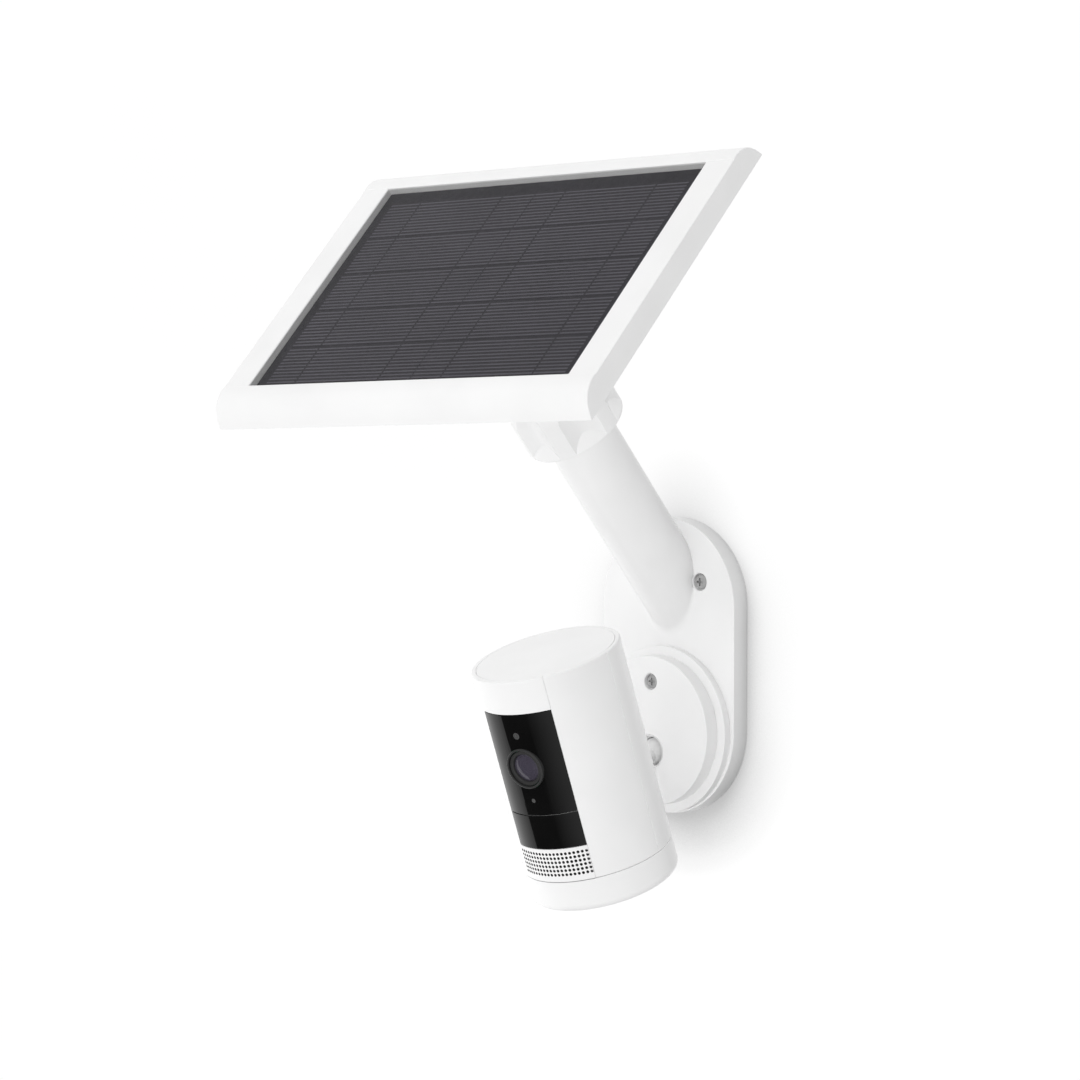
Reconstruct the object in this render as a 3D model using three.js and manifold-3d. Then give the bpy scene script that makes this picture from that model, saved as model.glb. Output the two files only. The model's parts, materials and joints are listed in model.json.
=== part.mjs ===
// A solar-powered security camera on its wall bracket, as separate pieces joined by real joints.
// Millimetres, +Z up. The origin is the centre of the wall plate's back face: the wall is the
// plane y = 0 and everything stands out from it towards -Y.
import * as THREE from "three";
import { mergeVertices } from "three/addons/utils/BufferGeometryUtils.js";
import Module from "manifold-3d";

const wasm = await Module();
wasm.setup();

const DEG = Math.PI / 180;
const GAP = 0.3; // clearance between pieces that touch or slide
const FINE = 40; // sides of a large round
const MEDIUM = 20; // sides of a small round
const COARSE = 10; // sides of screws and other fasteners
const ARC_STEPS = 5; // straight steps in a turned arc

// Wall plate
const PLATE_HALF_WIDTH = 35.4;
const PLATE_HEIGHT = 120;
const PLATE_DEPTH = 8.2;
const PLATE_SKIN = 3.2; // thickness of the front wall in front of the rear pockets
const PLATE_WALL = 3;
const RIB_LOW = -3; // the solid rib across the middle of the back
const RIB_HIGH = 10;
const LEAD_CHANNEL = 5; // width of the cable channel through the rib
const LEAD_X = 8; // how far it passes beside the upper base screw
const LEAD_RADIUS = 1.6;
const WALL_POST = 6; // radius of the posts behind the wall screws
const BASE_POST = 4.6; // radius of the posts the base screws bite into

// Arm, moulded in one piece with the plate
const ARM_FOOT_Z = 35.55;
const ARM_LEAN = 41.14 * DEG; // from the vertical, away from the wall
const ARM_RADIUS = 14.13;
const ARM_BORE = 10.5;
const ARM_LENGTH = 97.5;
const CUP_SEAT = 84; // where the wider bore for the socket cup starts
const CUP_BORE = 12.6;

// Ball joint of the solar panel
const PANEL_BALL_AT = 103; // along the arm
const PANEL_BALL = 11.5;
const PANEL_LINER_IN = 11.8;
const PANEL_LINER_OUT = 13;
const PANEL_SOCKET = 13.3;
const PANEL_SWIVEL = -15.3 * DEG; // rest attitude: about the arm,
const PANEL_TILT = 2.84 * DEG; // then across it,
const PANEL_SPIN = 18.07 * DEG; // then about the stud

// Locking collar
const COLLAR_LOW = 83.5;
const COLLAR_HIGH = 109;
const COLLAR_RADIUS = 21;
const COLLAR_BORE = 14.5;
const COLLAR_LOBES = 6;
const COLLAR_LOBE_ANGLE = 19 * DEG;
const COLLAR_SCALLOP_DEPTH = 3.4;
const COLLAR_FIRST_LOBE = -1.5 * DEG;
const COLLAR_STRAIGHT = 15; // height of the straight side below the domed top
const COLLAR_RUN_OUT = 6; // height over which the grips run out below

// Solar panel, measured from the centre of its ball along the stud
const PANEL_WIDTH = 194;
const PANEL_UNDERSIDE = 51.7;
const PANEL_TOP = 61.9;
const PANEL_SHIFT_Y = -0.7; // the stud stands this far behind the middle
const PANEL_CREASE = 56.4; // half depth of the flat top
const PANEL_HALF_DEPTH = 70.2; // half depth at the underside
const PANEL_NOSE = [67, 0.9]; // control point of the rounded long edge
const GLASS_WIDTH = 166.9;
const GLASS_DEPTH = 112.4;
const GLASS_THICK = 2;
const GLASS_SINK = 0.3;
const CELLS_THICK = 0.6;
const LEDGE_WIDTH = 158;
const LEDGE_DEPTH = 103;
const LEDGE_TOP = 4.6; // below the panel's top
const LEDGE_LOW = 6.1;
const POCKET_WIDTH = 186;
const POCKET_DEPTH = 128;
const COVER_THICK = 2;
const CORNER_BLOCK = 12;
const COVER_SCREW_X = POCKET_WIDTH / 2 - CORNER_BLOCK / 2;
const COVER_SCREW_Y = POCKET_DEPTH / 2 - CORNER_BLOCK / 2;

// Hub and stud under the panel
const HUB_LOW = 30;
const HUB_FLANGE_LOW = 47.4;
const HUB_FLANGE_RADIUS = 26;
const HUB_FLOOR = 4;
const HUB_CAVITY = 9;
const HUB_SCREW_CIRCLE = 21;
const STUD_RADIUS = 5.5;
const SPIGOT_RADIUS = 4.5;
const SPIGOT_TOP = 40;
const STUD_BORE = 2.3;

// Round base of the camera: the adapter ring, then the base disc in front of it
const BASE_Z = -25.7;
const RING_RADIUS = 33.9;
const RING_THICK = 3.7;
const BASE_RADIUS = 30.3;
const BASE_THICK = 6.8;
const BASE_SKIN = 2.2;
const BASE_SCREW_OFFSET = 19.9;
const BASE_FACE = PLATE_DEPTH + RING_THICK + BASE_THICK; // distance from the wall

// Ball joint of the camera
const CAMERA_BALL_DEPTH = 3.4; // behind the face of the base disc
const CAMERA_BALL_Z = -34.1;
const CAMERA_BALL = 5.5;
const CAMERA_LINER_IN = 5.8;
const CAMERA_LINER_OUT = 6.6;
const CAMERA_SOCKET = 6.9;
const CAMERA_NECK = 2.5;
const RETAINER_RADIUS = 8.1;
const CAMERA_PAN = 7.8 * DEG;
const CAMERA_TILT = 17.49 * DEG;
const CAMERA_ROLL = -5.1 * DEG;

// Camera body, measured from the centre of its top face: +Z up, front towards -Y
const BODY_RADIUS = 30;
const BODY_LENGTH = 97.45;
const BODY_WALL = 2.2;
const BODY_INNER = BODY_RADIUS - BODY_WALL;
const BALL_TO_AXIS = 52;
const BALL_BELOW_TOP = 63.3;
const CAP_SEAM = 84.3;
const SEAM = 0.3; // visible gap between mouldings
const LID_RADIUS = 28.2;
const LID_THICK = 2.4;
const INSERT_ANGLE = 33 * DEG;
const REAR_ANGLE = 90 * DEG;
const WINDOW_TOP = 13.54;
const WINDOW_SPLIT = 55.73;
const WINDOW_LOW = 69.95;
const WINDOW_THICK = 1;
const LENS_DOWN = 35.9;
const LIGHT_SENSOR_DOWN = 22.3;
const LED_DOWN = 49.4;
const MOTION_DOWN = 62.8;
const SPEAKER_DOWN = 76.9;
const BEZEL_RADIUS = 8.35;
const BEZEL_BORE = 7.5;
const BEZEL_PROUD = 0.4; // of the camera's round side
const BARREL_RADIUS = 7.2;
const BARREL_STEM = 5.4;
const BARREL_FACE = 29.7; // distance of its front ring from the camera's axis
const LENS_SEAT = 28;
const LENS_RADIUS = 5.5;
const LENS_EDGE_THICK = 0.5;
const LENS_CROWN = 14; // radius of the front lens's outer surface
const EYE_BACK = 17.2; // where the barrel starts, just in front of the image board
const SENSOR_BACK = 15.2; // where the small sensors stand on the board side
const SENSOR_FRONT = 28.4;

// Battery and what holds it
const SLEEVE_WIDTH = 45;
const SLEEVE_BACK = 15;
const SLEEVE_FRONT = -10;
const SLEEVE_TOP = 14;
const SLEEVE_LOW = 83.6;
const SLEEVE_WALL = 1.2;
const FLANGE_RADIUS = 27.3;
const FLANGE_THICK = 1.5;
const BATTERY_WIDTH = 42;
const BATTERY_BACK = 13.5;
const BATTERY_FRONT = -8.5;
const BATTERY_TOP = 18;
const BATTERY_LOW = 86;
const LATCH_WIDTH = 10;
const LATCH_HEIGHT = 15;
const LATCH_RECESS = 2.4;
const LATCH_THICK = 1.2;
const BUTTON_RADIUS = 2.5;
const BUTTON_Y = 21;

// Screws: [head radius, head height, shank radius]
const WALL_SCREW = [3.1, 1.8, 2];
const BASE_SCREW = [2.9, 1.6, 1.5];
const SMALL_SCREW = [2.8, 1.2, 1.3];
const WALL_SCREW_X = 17.06;
const UPPER_SCREW_Z = 34.87;
const LOWER_SCREW_Z = -44;
const WALL_SCREW_REACH = 22; // how far a wall screw goes into the wall

const white = { color: 0xf1f1ef, roughness: 0.38, metalness: 0 };
const satinWhite = { color: 0xe9e9e6, roughness: 0.55, metalness: 0 };
const glossBlack = { color: 0x060607, roughness: 0.08, metalness: 0 };
const darkPlastic = { color: 0x1d1e20, roughness: 0.5, metalness: 0 };
const steel = { color: 0xa9abae, roughness: 0.32, metalness: 1 };
const rubber = { color: 0x18181a, roughness: 0.85, metalness: 0 };
const boardGreen = { color: 0x1c4a32, roughness: 0.5, metalness: 0 };
const gold = { color: 0xc9a24b, roughness: 0.3, metalness: 1 };
const clearGlass = { color: 0x2b2b31, roughness: 0.05, metalness: 0 };
const siliconCells = { color: 0x33323a, roughness: 0.35, metalness: 0.1 };
const softWhite = { color: 0xd8d8d6, roughness: 0.6, metalness: 0 };

// --- Geometry helpers -----------------------------------------------------------------------

// One closed solid from a three.js geometry: shared vertices, no slivers, faces outwards.
function solid(geometry) {
  const plain = geometry.clone();
  plain.deleteAttribute("normal");
  plain.deleteAttribute("uv");
  const merged = mergeVertices(plain, 1e-4);
  const corners = merged.index.array;
  const points = merged.attributes.position.array;
  const kept = [];
  for (let i = 0; i < corners.length; i += 3) {
    const [a, b, c] = [corners[i], corners[i + 1], corners[i + 2]];
    if (a !== b && b !== c && c !== a) kept.push(a, b, c);
  }
  if (signedVolume(points, kept) < 0) kept.reverse();
  const mesh = new wasm.Mesh({
    numProp: 3,
    vertProperties: Float32Array.from(points),
    triVerts: Uint32Array.from(kept),
  });
  return new wasm.Manifold(mesh);
}

function signedVolume(points, corners) {
  const [a, b, c] = [new THREE.Vector3(), new THREE.Vector3(), new THREE.Vector3()];
  let sum = 0;
  for (let i = 0; i < corners.length; i += 3) {
    a.fromArray(points, corners[i] * 3);
    b.fromArray(points, corners[i + 1] * 3);
    c.fromArray(points, corners[i + 2] * 3);
    sum += a.dot(b.cross(c));
  }
  return sum;
}

function geometryOf(manifold) {
  const mesh = manifold.getMesh();
  const geometry = new THREE.BufferGeometry();
  geometry.setAttribute("position", new THREE.BufferAttribute(mesh.vertProperties, 3));
  geometry.setIndex(new THREE.BufferAttribute(mesh.triVerts, 1));
  return geometry;
}

function cut(base, ...tools) {
  return tools.reduce((left, tool) => left.subtract(tool), base);
}

function join(...parts) {
  return parts.reduce((sum, part) => sum.add(part));
}

// A block between two corners.
function block(low, high) {
  const size = high.map((value, i) => value - low[i]);
  const geometry = new THREE.BoxGeometry(...size);
  geometry.translate(...low.map((value, i) => value + size[i] / 2));
  return solid(geometry);
}

// A body of revolution about +Z from [radius, height] points.
function turned(profile, sides = FINE) {
  const points = profile.map(([radius, height]) => new THREE.Vector2(radius, height));
  const geometry = new THREE.LatheGeometry(points, sides);
  geometry.rotateX(Math.PI / 2);
  return solid(geometry);
}

// A plain rod about +Z.
function rod(radius, low, high, sides = MEDIUM) {
  return turned([[0, low], [radius, low], [radius, high], [0, high]], sides);
}

function tube(inner, outer, low, high, sides = FINE) {
  return turned([[inner, low], [outer, low], [outer, high], [inner, high], [inner, low]], sides);
}

// Points of a circular arc as [radius, height] pairs, angles measured up from the equator.
function arc(radius, centre, from, to, steps) {
  const points = [];
  for (let i = 0; i <= steps; i += 1) {
    const angle = from + ((to - from) * i) / steps;
    points.push([radius * Math.cos(angle), centre + radius * Math.sin(angle)]);
  }
  return points;
}

// A flat outline in X and Y, given thickness along +Z.
function slab(shape, low, high, curveSegments = MEDIUM) {
  const geometry = new THREE.ExtrudeGeometry(shape, {
    depth: high - low,
    bevelEnabled: false,
    curveSegments,
  });
  geometry.translate(0, 0, low);
  return solid(geometry);
}

// A wall that follows the camera's round side between two angles from the front.
function curvedWall(inner, outer, from, to, low, high) {
  const front = -Math.PI / 2;
  const shape = new THREE.Shape();
  shape.absarc(0, 0, outer, front + from, front + to, false);
  shape.absarc(0, 0, inner, front + to, front + from, true);
  const steps = Math.max(6, Math.round((FINE * (to - from)) / (2 * Math.PI)));
  return slab(shape, low, high, steps);
}

// Turns a solid built about +Z so that its top points along -Y, then moves it into place.
function facingOut(part, x, z) {
  return part.rotate([90, 0, 0]).translate([x, 0, z]);
}

function piece(name, manifold, look) {
  const material = new THREE.MeshStandardMaterial({ ...look, flatShading: true });
  const mesh = new THREE.Mesh(geometryOf(manifold), material);
  mesh.name = name;
  return mesh;
}

// --- Fasteners -------------------------------------------------------------------------------

// A cross-head screw with its head on top at height 0 and its point downwards.
function screw([head, height, shank], length) {
  const dome = [[head * 0.62, 0], [head * 0.9, -height * 0.25], [head, -height * 0.55]];
  const body = turned(
    [
      [0, -length],
      [shank * 0.4, -length + shank],
      [shank, -length + shank * 2.4],
      [shank, -height],
      [head, -height],
      ...dome.reverse(),
      [0, 0],
    ],
    COARSE,
  );
  const slot = head * 0.14;
  const reach = head * 0.5;
  const depth = height * 0.6;
  return cut(
    body,
    block([-reach, -slot, -depth], [reach, slot, 1]),
    block([-slot, -reach, -depth], [slot, reach, 1]),
  );
}

// --- Wall plate and arm ----------------------------------------------------------------------

function stadium(inset) {
  const radius = PLATE_HALF_WIDTH - inset;
  const centre = PLATE_HEIGHT / 2 - PLATE_HALF_WIDTH;
  const shape = new THREE.Shape();
  shape.absarc(0, centre, radius, 0, Math.PI, false);
  shape.absarc(0, -centre, radius, Math.PI, 2 * Math.PI, false);
  return shape;
}

function alongArm(part) {
  return part.rotate([ARM_LEAN / DEG, 0, 0]).translate([0, -PLATE_DEPTH, ARM_FOOT_Z]);
}

function wallScrewPlaces() {
  const places = [];
  for (const z of [UPPER_SCREW_Z, LOWER_SCREW_Z]) {
    for (const side of [-1, 1]) places.push([side * WALL_SCREW_X, z]);
  }
  return places;
}

function baseScrewHeights() {
  return [BASE_Z + BASE_SCREW_OFFSET, BASE_Z - BASE_SCREW_OFFSET];
}

// The rear pockets: everything behind the front skin but the rim, the rib and the screw posts.
function rearPockets() {
  const floor = PLATE_DEPTH - PLATE_SKIN;
  const hollow = facingOut(slab(stadium(PLATE_WALL), -1, floor), 0, 0);
  const side = PLATE_HALF_WIDTH;
  const deep = PLATE_DEPTH * 2;
  const rib = cut(
    block([-side, -deep, RIB_LOW], [side, deep, RIB_HIGH]),
    block(
      [LEAD_X - LEAD_CHANNEL / 2, -floor, RIB_LOW - 1],
      [LEAD_X + LEAD_CHANNEL / 2, deep, RIB_HIGH + 1],
    ),
  );
  const posts = wallScrewPlaces().map(([x, z]) => facingOut(rod(WALL_POST, -2, deep), x, z));
  const anchors = baseScrewHeights().map((z) => facingOut(rod(BASE_POST, -2, deep), 0, z));
  return cut(hollow, rib, ...posts, ...anchors);
}

function wallPlate() {
  const floor = PLATE_DEPTH - PLATE_SKIN;
  const plate = facingOut(slab(stadium(0), 0, PLATE_DEPTH), 0, 0);
  const behind = block([-50, -floor, -50], [50, 60, 90]);
  const arm = cut(alongArm(rod(ARM_RADIUS, -20, ARM_LENGTH, FINE)), behind);
  const armBore = alongArm(rod(ARM_BORE, -30, ARM_LENGTH + 1, FINE));
  const cupBore = alongArm(rod(CUP_BORE, CUP_SEAT, ARM_LENGTH + 1, FINE));
  const [head, , shank] = WALL_SCREW;
  const screwHoles = wallScrewPlaces().map(([x, z]) => {
    const hole = rod(shank + 0.4, -1, PLATE_DEPTH + 1, COARSE);
    const recess = rod(head + 0.4, PLATE_DEPTH - 2, PLATE_DEPTH + 1, MEDIUM);
    return facingOut(join(hole, recess), x, z);
  });
  const threads = baseScrewHeights().map((z) =>
    facingOut(rod(BASE_SCREW[2] + 0.35, 1.5, PLATE_DEPTH + 1, COARSE), 0, z),
  );
  const leadHole = facingOut(rod(3.7, 0, PLATE_DEPTH + 1, COARSE), 0, CAMERA_BALL_Z);
  return cut(join(plate, arm), rearPockets(), armBore, cupBore, ...screwHoles, ...threads, leadHole);
}

function wallScrews() {
  const names = ["wall_screw_upper_left", "wall_screw_upper_right"];
  names.push("wall_screw_lower_left", "wall_screw_lower_right");
  const length = PLATE_DEPTH - 0.1 + WALL_SCREW_REACH;
  return wallScrewPlaces().map(([x, z], i) => {
    const mesh = piece(names[i], screw(WALL_SCREW, length), steel);
    mesh.rotation.x = Math.PI / 2;
    mesh.position.set(x, -PLATE_DEPTH + 0.1, z);
    return mesh;
  });
}

// The cup inside the end of the arm that carries the panel's ball from below.
function socketCup() {
  const outer = CUP_BORE - GAP;
  const low = CUP_SEAT + GAP;
  const high = 96.5;
  const profile = [[3, low], [outer, low], [outer, high]];
  const rim = Math.asin((high - PANEL_BALL_AT) / PANEL_SOCKET);
  const bore = -Math.acos(3 / PANEL_SOCKET);
  profile.push(...arc(PANEL_SOCKET, PANEL_BALL_AT, rim, bore, ARC_STEPS), [3, low]);
  return turned(profile);
}

// The lead from the panel, down the bore of the arm and behind the plate to the camera's base.
function armLead() {
  const onArm = (distance) => [
    0,
    -PLATE_DEPTH - distance * Math.sin(ARM_LEAN),
    ARM_FOOT_Z + distance * Math.cos(ARM_LEAN),
  ];
  const behind = -2.7;
  const stops = [
    onArm(88),
    onArm(60),
    onArm(30),
    onArm(4),
    [1, behind - 1.2, 27],
    [LEAD_X - 2, behind, 17],
    [LEAD_X, behind, 10],
    [LEAD_X, behind, RIB_LOW],
    [LEAD_X, behind, -12],
    [LEAD_X - 3, behind, -22],
    [1, behind - 0.6, -31],
    [0, behind - 2.6, CAMERA_BALL_Z],
    [0, -7.6, CAMERA_BALL_Z],
  ];
  const path = new THREE.CatmullRomCurve3(stops.map((stop) => new THREE.Vector3(...stop)));
  const section = new THREE.Shape();
  section.absarc(0, 0, LEAD_RADIUS, 0, 2 * Math.PI, false);
  const options = { steps: 30, curveSegments: 3, bevelEnabled: false, extrudePath: path };
  return solid(new THREE.ExtrudeGeometry(section, options));
}

// --- Round base of the camera ----------------------------------------------------------------

function adapterRing() {
  const low = PLATE_DEPTH + GAP;
  const high = PLATE_DEPTH + RING_THICK;
  const disc = turned(
    [[0, low], [RING_RADIUS - 0.4, low], [RING_RADIUS, low + 0.4], [RING_RADIUS, high], [0, high]],
  );
  const holes = baseScrewHeights().map((z) =>
    rod(BASE_SCREW[2] + 0.4, 0, BASE_FACE, COARSE).translate([0, z - BASE_Z, 0]),
  );
  const middle = rod(RETAINER_RADIUS + 0.4, 0, BASE_FACE).translate([0, CAMERA_BALL_Z - BASE_Z, 0]);
  return facingOut(cut(disc, ...holes, middle), 0, BASE_Z);
}


function mountBase() {
  const low = PLATE_DEPTH + RING_THICK + GAP;
  const face = BASE_FACE;
  const skin = face - BASE_SKIN;
  const socket = face - CAMERA_BALL_DEPTH;
  const offset = [0, CAMERA_BALL_Z - BASE_Z, 0];
  const shell = turned(
    [
      [0, skin],
      [BASE_RADIUS - 2.4, skin],
      [BASE_RADIUS - 2.4, low],
      [BASE_RADIUS, low],
      [BASE_RADIUS, face - 0.5],
      [BASE_RADIUS - 0.5, face],
      [0, face],
    ],
  );
  const boss = rod(RETAINER_RADIUS + 1.2, socket - 1, skin + 1).translate(offset);
  const hollow = turned(
    [
      [0, low - 1],
      [CAMERA_SOCKET, low - 1],
      ...arc(CAMERA_SOCKET, socket, 0, Math.asin(CAMERA_BALL_DEPTH / CAMERA_SOCKET), ARC_STEPS),
      [6.6, face + 0.1],
      [0, face + 0.1],
    ],
    MEDIUM,
  ).translate(offset);
  const posts = [BASE_SCREW_OFFSET, -BASE_SCREW_OFFSET].map((y) =>
    rod(5, low, skin + 1).translate([0, y, 0]),
  );
  const holes = [BASE_SCREW_OFFSET, -BASE_SCREW_OFFSET].map((y) => {
    const hole = rod(BASE_SCREW[2] + 0.4, low - 1, face + 1, COARSE);
    const recess = rod(BASE_SCREW[0] + 0.4, face - 2.6, face + 1);
    return join(hole, recess).translate([0, y, 0]);
  });
  const retainerRoom = rod(RETAINER_RADIUS + GAP, 0, socket - 1).translate(offset);
  const body = cut(join(shell, boss, ...posts), retainerRoom, hollow, ...holes);
  return facingOut(body, 0, BASE_Z);
}

function baseScrews() {
  return baseScrewHeights().map((z, i) => {
    const name = ["base_screw_upper", "base_screw_lower"][i];
    const top = BASE_FACE - 0.9;
    const mesh = piece(name, screw(BASE_SCREW, top - 2), steel);
    mesh.rotation.x = Math.PI / 2;
    mesh.position.set(0, -top, z);
    return mesh;
  });
}

// The plug behind the camera's ball that keeps it in the base.
function ballRetainer() {
  const socket = BASE_FACE - CAMERA_BALL_DEPTH;
  const low = PLATE_DEPTH + 0.5;
  const high = socket - 1.3;
  const rim = Math.asin((high - socket) / CAMERA_SOCKET);
  const bore = -Math.acos(3 / CAMERA_SOCKET);
  const profile = [
    [3, low],
    [RETAINER_RADIUS, low],
    [RETAINER_RADIUS, high],
    ...arc(CAMERA_SOCKET, socket, rim, bore, ARC_STEPS),
    [3, low],
  ];
  return facingOut(turned(profile, MEDIUM), 0, CAMERA_BALL_Z);
}

// --- Locking collar --------------------------------------------------------------------------

// Six lobes with a scooped finger grip between each two.
function collarOutline() {
  const pitch = (2 * Math.PI) / COLLAR_LOBES;
  const scallop = pitch - COLLAR_LOBE_ANGLE;
  const outline = [];
  for (let lobe = 0; lobe < COLLAR_LOBES; lobe += 1) {
    const middle = COLLAR_FIRST_LOBE + lobe * pitch;
    for (let i = 0; i <= 2; i += 1) {
      const angle = middle + COLLAR_LOBE_ANGLE * (i / 2 - 0.5);
      outline.push([COLLAR_RADIUS, angle]);
    }
    for (let i = 1; i < 6; i += 1) {
      const across = i / 6;
      const scoop = COLLAR_SCALLOP_DEPTH * Math.sin(Math.PI * across) ** 0.8;
      outline.push([COLLAR_RADIUS - scoop, middle + COLLAR_LOBE_ANGLE / 2 + scallop * across]);
    }
  }
  return new THREE.Shape(
    outline.map(([radius, angle]) => new THREE.Vector2(radius * Math.cos(angle), radius * Math.sin(angle))),
  );
}

function lockingCollar() {
  const shoulder = COLLAR_LOW + COLLAR_STRAIGHT;
  const floor = COLLAR_RADIUS - COLLAR_SCALLOP_DEPTH;
  const runOut = turned(
    [
      [0, COLLAR_LOW],
      [COLLAR_RADIUS, COLLAR_LOW],
      [COLLAR_RADIUS, COLLAR_LOW + 0.7],
      [floor, COLLAR_LOW + COLLAR_RUN_OUT],
      [0, COLLAR_LOW + COLLAR_RUN_OUT],
    ],
  );
  const grip = join(slab(collarOutline(), COLLAR_LOW, COLLAR_HIGH), runOut);
  const seat = ARM_LENGTH + 0.7;
  const entry = Math.asin((seat - PANEL_BALL_AT) / PANEL_SOCKET);
  const mouth = Math.asin((COLLAR_HIGH - PANEL_BALL_AT) / PANEL_SOCKET);
  const mouthRadius = PANEL_SOCKET * Math.cos(mouth);
  const envelope = turned(
    [
      [0, COLLAR_LOW - 1],
      [COLLAR_RADIUS + 1, COLLAR_LOW - 1],
      [COLLAR_RADIUS + 1, shoulder],
      [COLLAR_RADIUS, shoulder],
      [COLLAR_RADIUS - 1.4, shoulder + 4.4],
      [COLLAR_RADIUS - 4.6, COLLAR_HIGH - 1.4],
      [COLLAR_RADIUS - 6.8, COLLAR_HIGH],
      [0, COLLAR_HIGH],
    ],
  );
  const inside = turned(
    [
      [0, COLLAR_LOW - 1],
      [COLLAR_BORE, COLLAR_LOW - 1],
      [COLLAR_BORE, seat],
      ...arc(PANEL_SOCKET, PANEL_BALL_AT, entry, mouth, ARC_STEPS),
      [mouthRadius + 0.4, COLLAR_HIGH + 0.1],
      [0, COLLAR_HIGH + 0.1],
    ],
  );
  return cut(grip.intersect(envelope), inside);
}

// A split-free friction liner: the zone of a hollow ball either side of its equator.
function ballLiner(inner, outer, low, high, sides) {
  const profile = arc(outer, 0, low, high, ARC_STEPS);
  profile.push(...arc(inner, 0, high, low, ARC_STEPS), profile[0]);
  return turned(profile, sides);
}

// --- Panel ball, hub and solar panel ---------------------------------------------------------

function panelBallStud() {
  const start = Math.asin(STUD_BORE / PANEL_BALL) - Math.PI / 2;
  const neck = Math.acos(STUD_RADIUS / PANEL_BALL);
  const shoulder = HUB_LOW - GAP;
  const profile = [
    [STUD_BORE, SPIGOT_TOP],
    [STUD_BORE, -7],
    [STUD_BORE + 2, PANEL_BALL * Math.sin(start) + 0.6],
    ...arc(PANEL_BALL, 0, start + 0.28, neck, 2 * ARC_STEPS),
    [STUD_RADIUS, shoulder - 3],
    [STUD_RADIUS + 2.5, shoulder],
    [SPIGOT_RADIUS, shoulder],
    [SPIGOT_RADIUS, SPIGOT_TOP],
    [STUD_BORE, SPIGOT_TOP],
  ];
  return turned(profile, MEDIUM);
}

function panelHub() {
  const top = PANEL_UNDERSIDE - GAP;
  const bell = turned(
    [
      [SPIGOT_RADIUS + GAP, HUB_LOW],
      [11, HUB_LOW],
      [12.5, HUB_LOW + 1.5],
      [14.5, HUB_FLANGE_LOW - 3],
      [17.5, HUB_FLANGE_LOW],
      [HUB_FLANGE_RADIUS - 0.8, HUB_FLANGE_LOW],
      [HUB_FLANGE_RADIUS, HUB_FLANGE_LOW + 0.8],
      [HUB_FLANGE_RADIUS, top],
      [HUB_CAVITY, top],
      [HUB_CAVITY, HUB_LOW + HUB_FLOOR],
      [SPIGOT_RADIUS + GAP, HUB_LOW + HUB_FLOOR],
      [SPIGOT_RADIUS + GAP, HUB_LOW],
    ],
    MEDIUM,
  );
  const holes = hubScrewPlaces().map(([x, y]) => {
    const hole = rod(SMALL_SCREW[2] + 0.4, 0, PANEL_UNDERSIDE, COARSE);
    const recess = rod(SMALL_SCREW[0] + 0.4, 0, HUB_FLANGE_LOW + 1.4, COARSE);
    return join(hole, recess).translate([x, y, 0]);
  });
  return cut(bell, ...holes);
}

function hubScrewPlaces() {
  return [90, 210, 330].map((angle) => [
    HUB_SCREW_CIRCLE * Math.cos(angle * DEG),
    HUB_SCREW_CIRCLE * Math.sin(angle * DEG),
  ]);
}

// The nut inside the hub that lets the panel spin on its stud without coming off.
function studNut() {
  const low = HUB_LOW + HUB_FLOOR + GAP;
  const inner = SPIGOT_RADIUS + GAP;
  return cut(rod(7.6, low, low + 4.5, 6), rod(inner, low - 1, low + 6, COARSE));
}

// The end profile of the panel: flat top and underside, rounded long edges.
function panelProfile() {
  const drop = PANEL_UNDERSIDE - PANEL_TOP;
  const [noseY, noseZ] = PANEL_NOSE;
  const shape = new THREE.Shape();
  shape.moveTo(-PANEL_CREASE, 0);
  shape.lineTo(PANEL_CREASE, 0);
  shape.quadraticCurveTo(noseY, noseZ, PANEL_HALF_DEPTH, drop);
  shape.lineTo(-PANEL_HALF_DEPTH, drop);
  shape.quadraticCurveTo(-noseY, noseZ, -PANEL_CREASE, 0);
  return shape;
}

// A centred rectangular block in the panel's own depth scale: 0 is its top, down is positive.
function panelBlock(width, depth, high, low) {
  return block([-width / 2, -depth / 2, -low], [width / 2, depth / 2, -high]);
}

function coverScrewPlaces() {
  const places = [];
  for (const x of [-COVER_SCREW_X, COVER_SCREW_X]) {
    for (const y of [-COVER_SCREW_Y, COVER_SCREW_Y]) places.push([x, y]);
  }
  return places;
}

function panelFrame() {
  const half = PANEL_WIDTH / 2;
  const body = slab(panelProfile(), -half, half, 8)
    .rotate([90, 0, 0])
    .rotate([0, 0, 90]);
  const thick = PANEL_TOP - PANEL_UNDERSIDE;
  const corners = coverScrewPlaces().map(([x, y]) => {
    const reach = CORNER_BLOCK / 2;
    return block([x - reach, y - reach, -thick], [x + reach, y + reach, 0]);
  });
  const pocket = cut(panelBlock(POCKET_WIDTH, POCKET_DEPTH, LEDGE_LOW, thick + 1), ...corners);
  const lid = panelBlock(POCKET_WIDTH, POCKET_DEPTH, thick - COVER_THICK - GAP, thick + 1);
  const threads = coverScrewPlaces().map(([x, y]) =>
    rod(SMALL_SCREW[2] + 0.35, -thick, -4.2, COARSE).translate([x, y, 0]),
  );
  return cut(
    body,
    panelBlock(GLASS_WIDTH, GLASS_DEPTH, -1, LEDGE_TOP),
    panelBlock(LEDGE_WIDTH, LEDGE_DEPTH, -1, thick),
    pocket,
    lid,
    ...threads,
  );
}

function panelGlass() {
  const width = GLASS_WIDTH - 2 * GAP;
  const depth = GLASS_DEPTH - 2 * GAP;
  return panelBlock(width, depth, GLASS_SINK, GLASS_SINK + GLASS_THICK);
}

function cellSheet() {
  const top = GLASS_SINK + GLASS_THICK + GAP;
  return panelBlock(GLASS_WIDTH - 2 * GAP, GLASS_DEPTH - 2 * GAP, top, top + CELLS_THICK);
}

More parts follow.
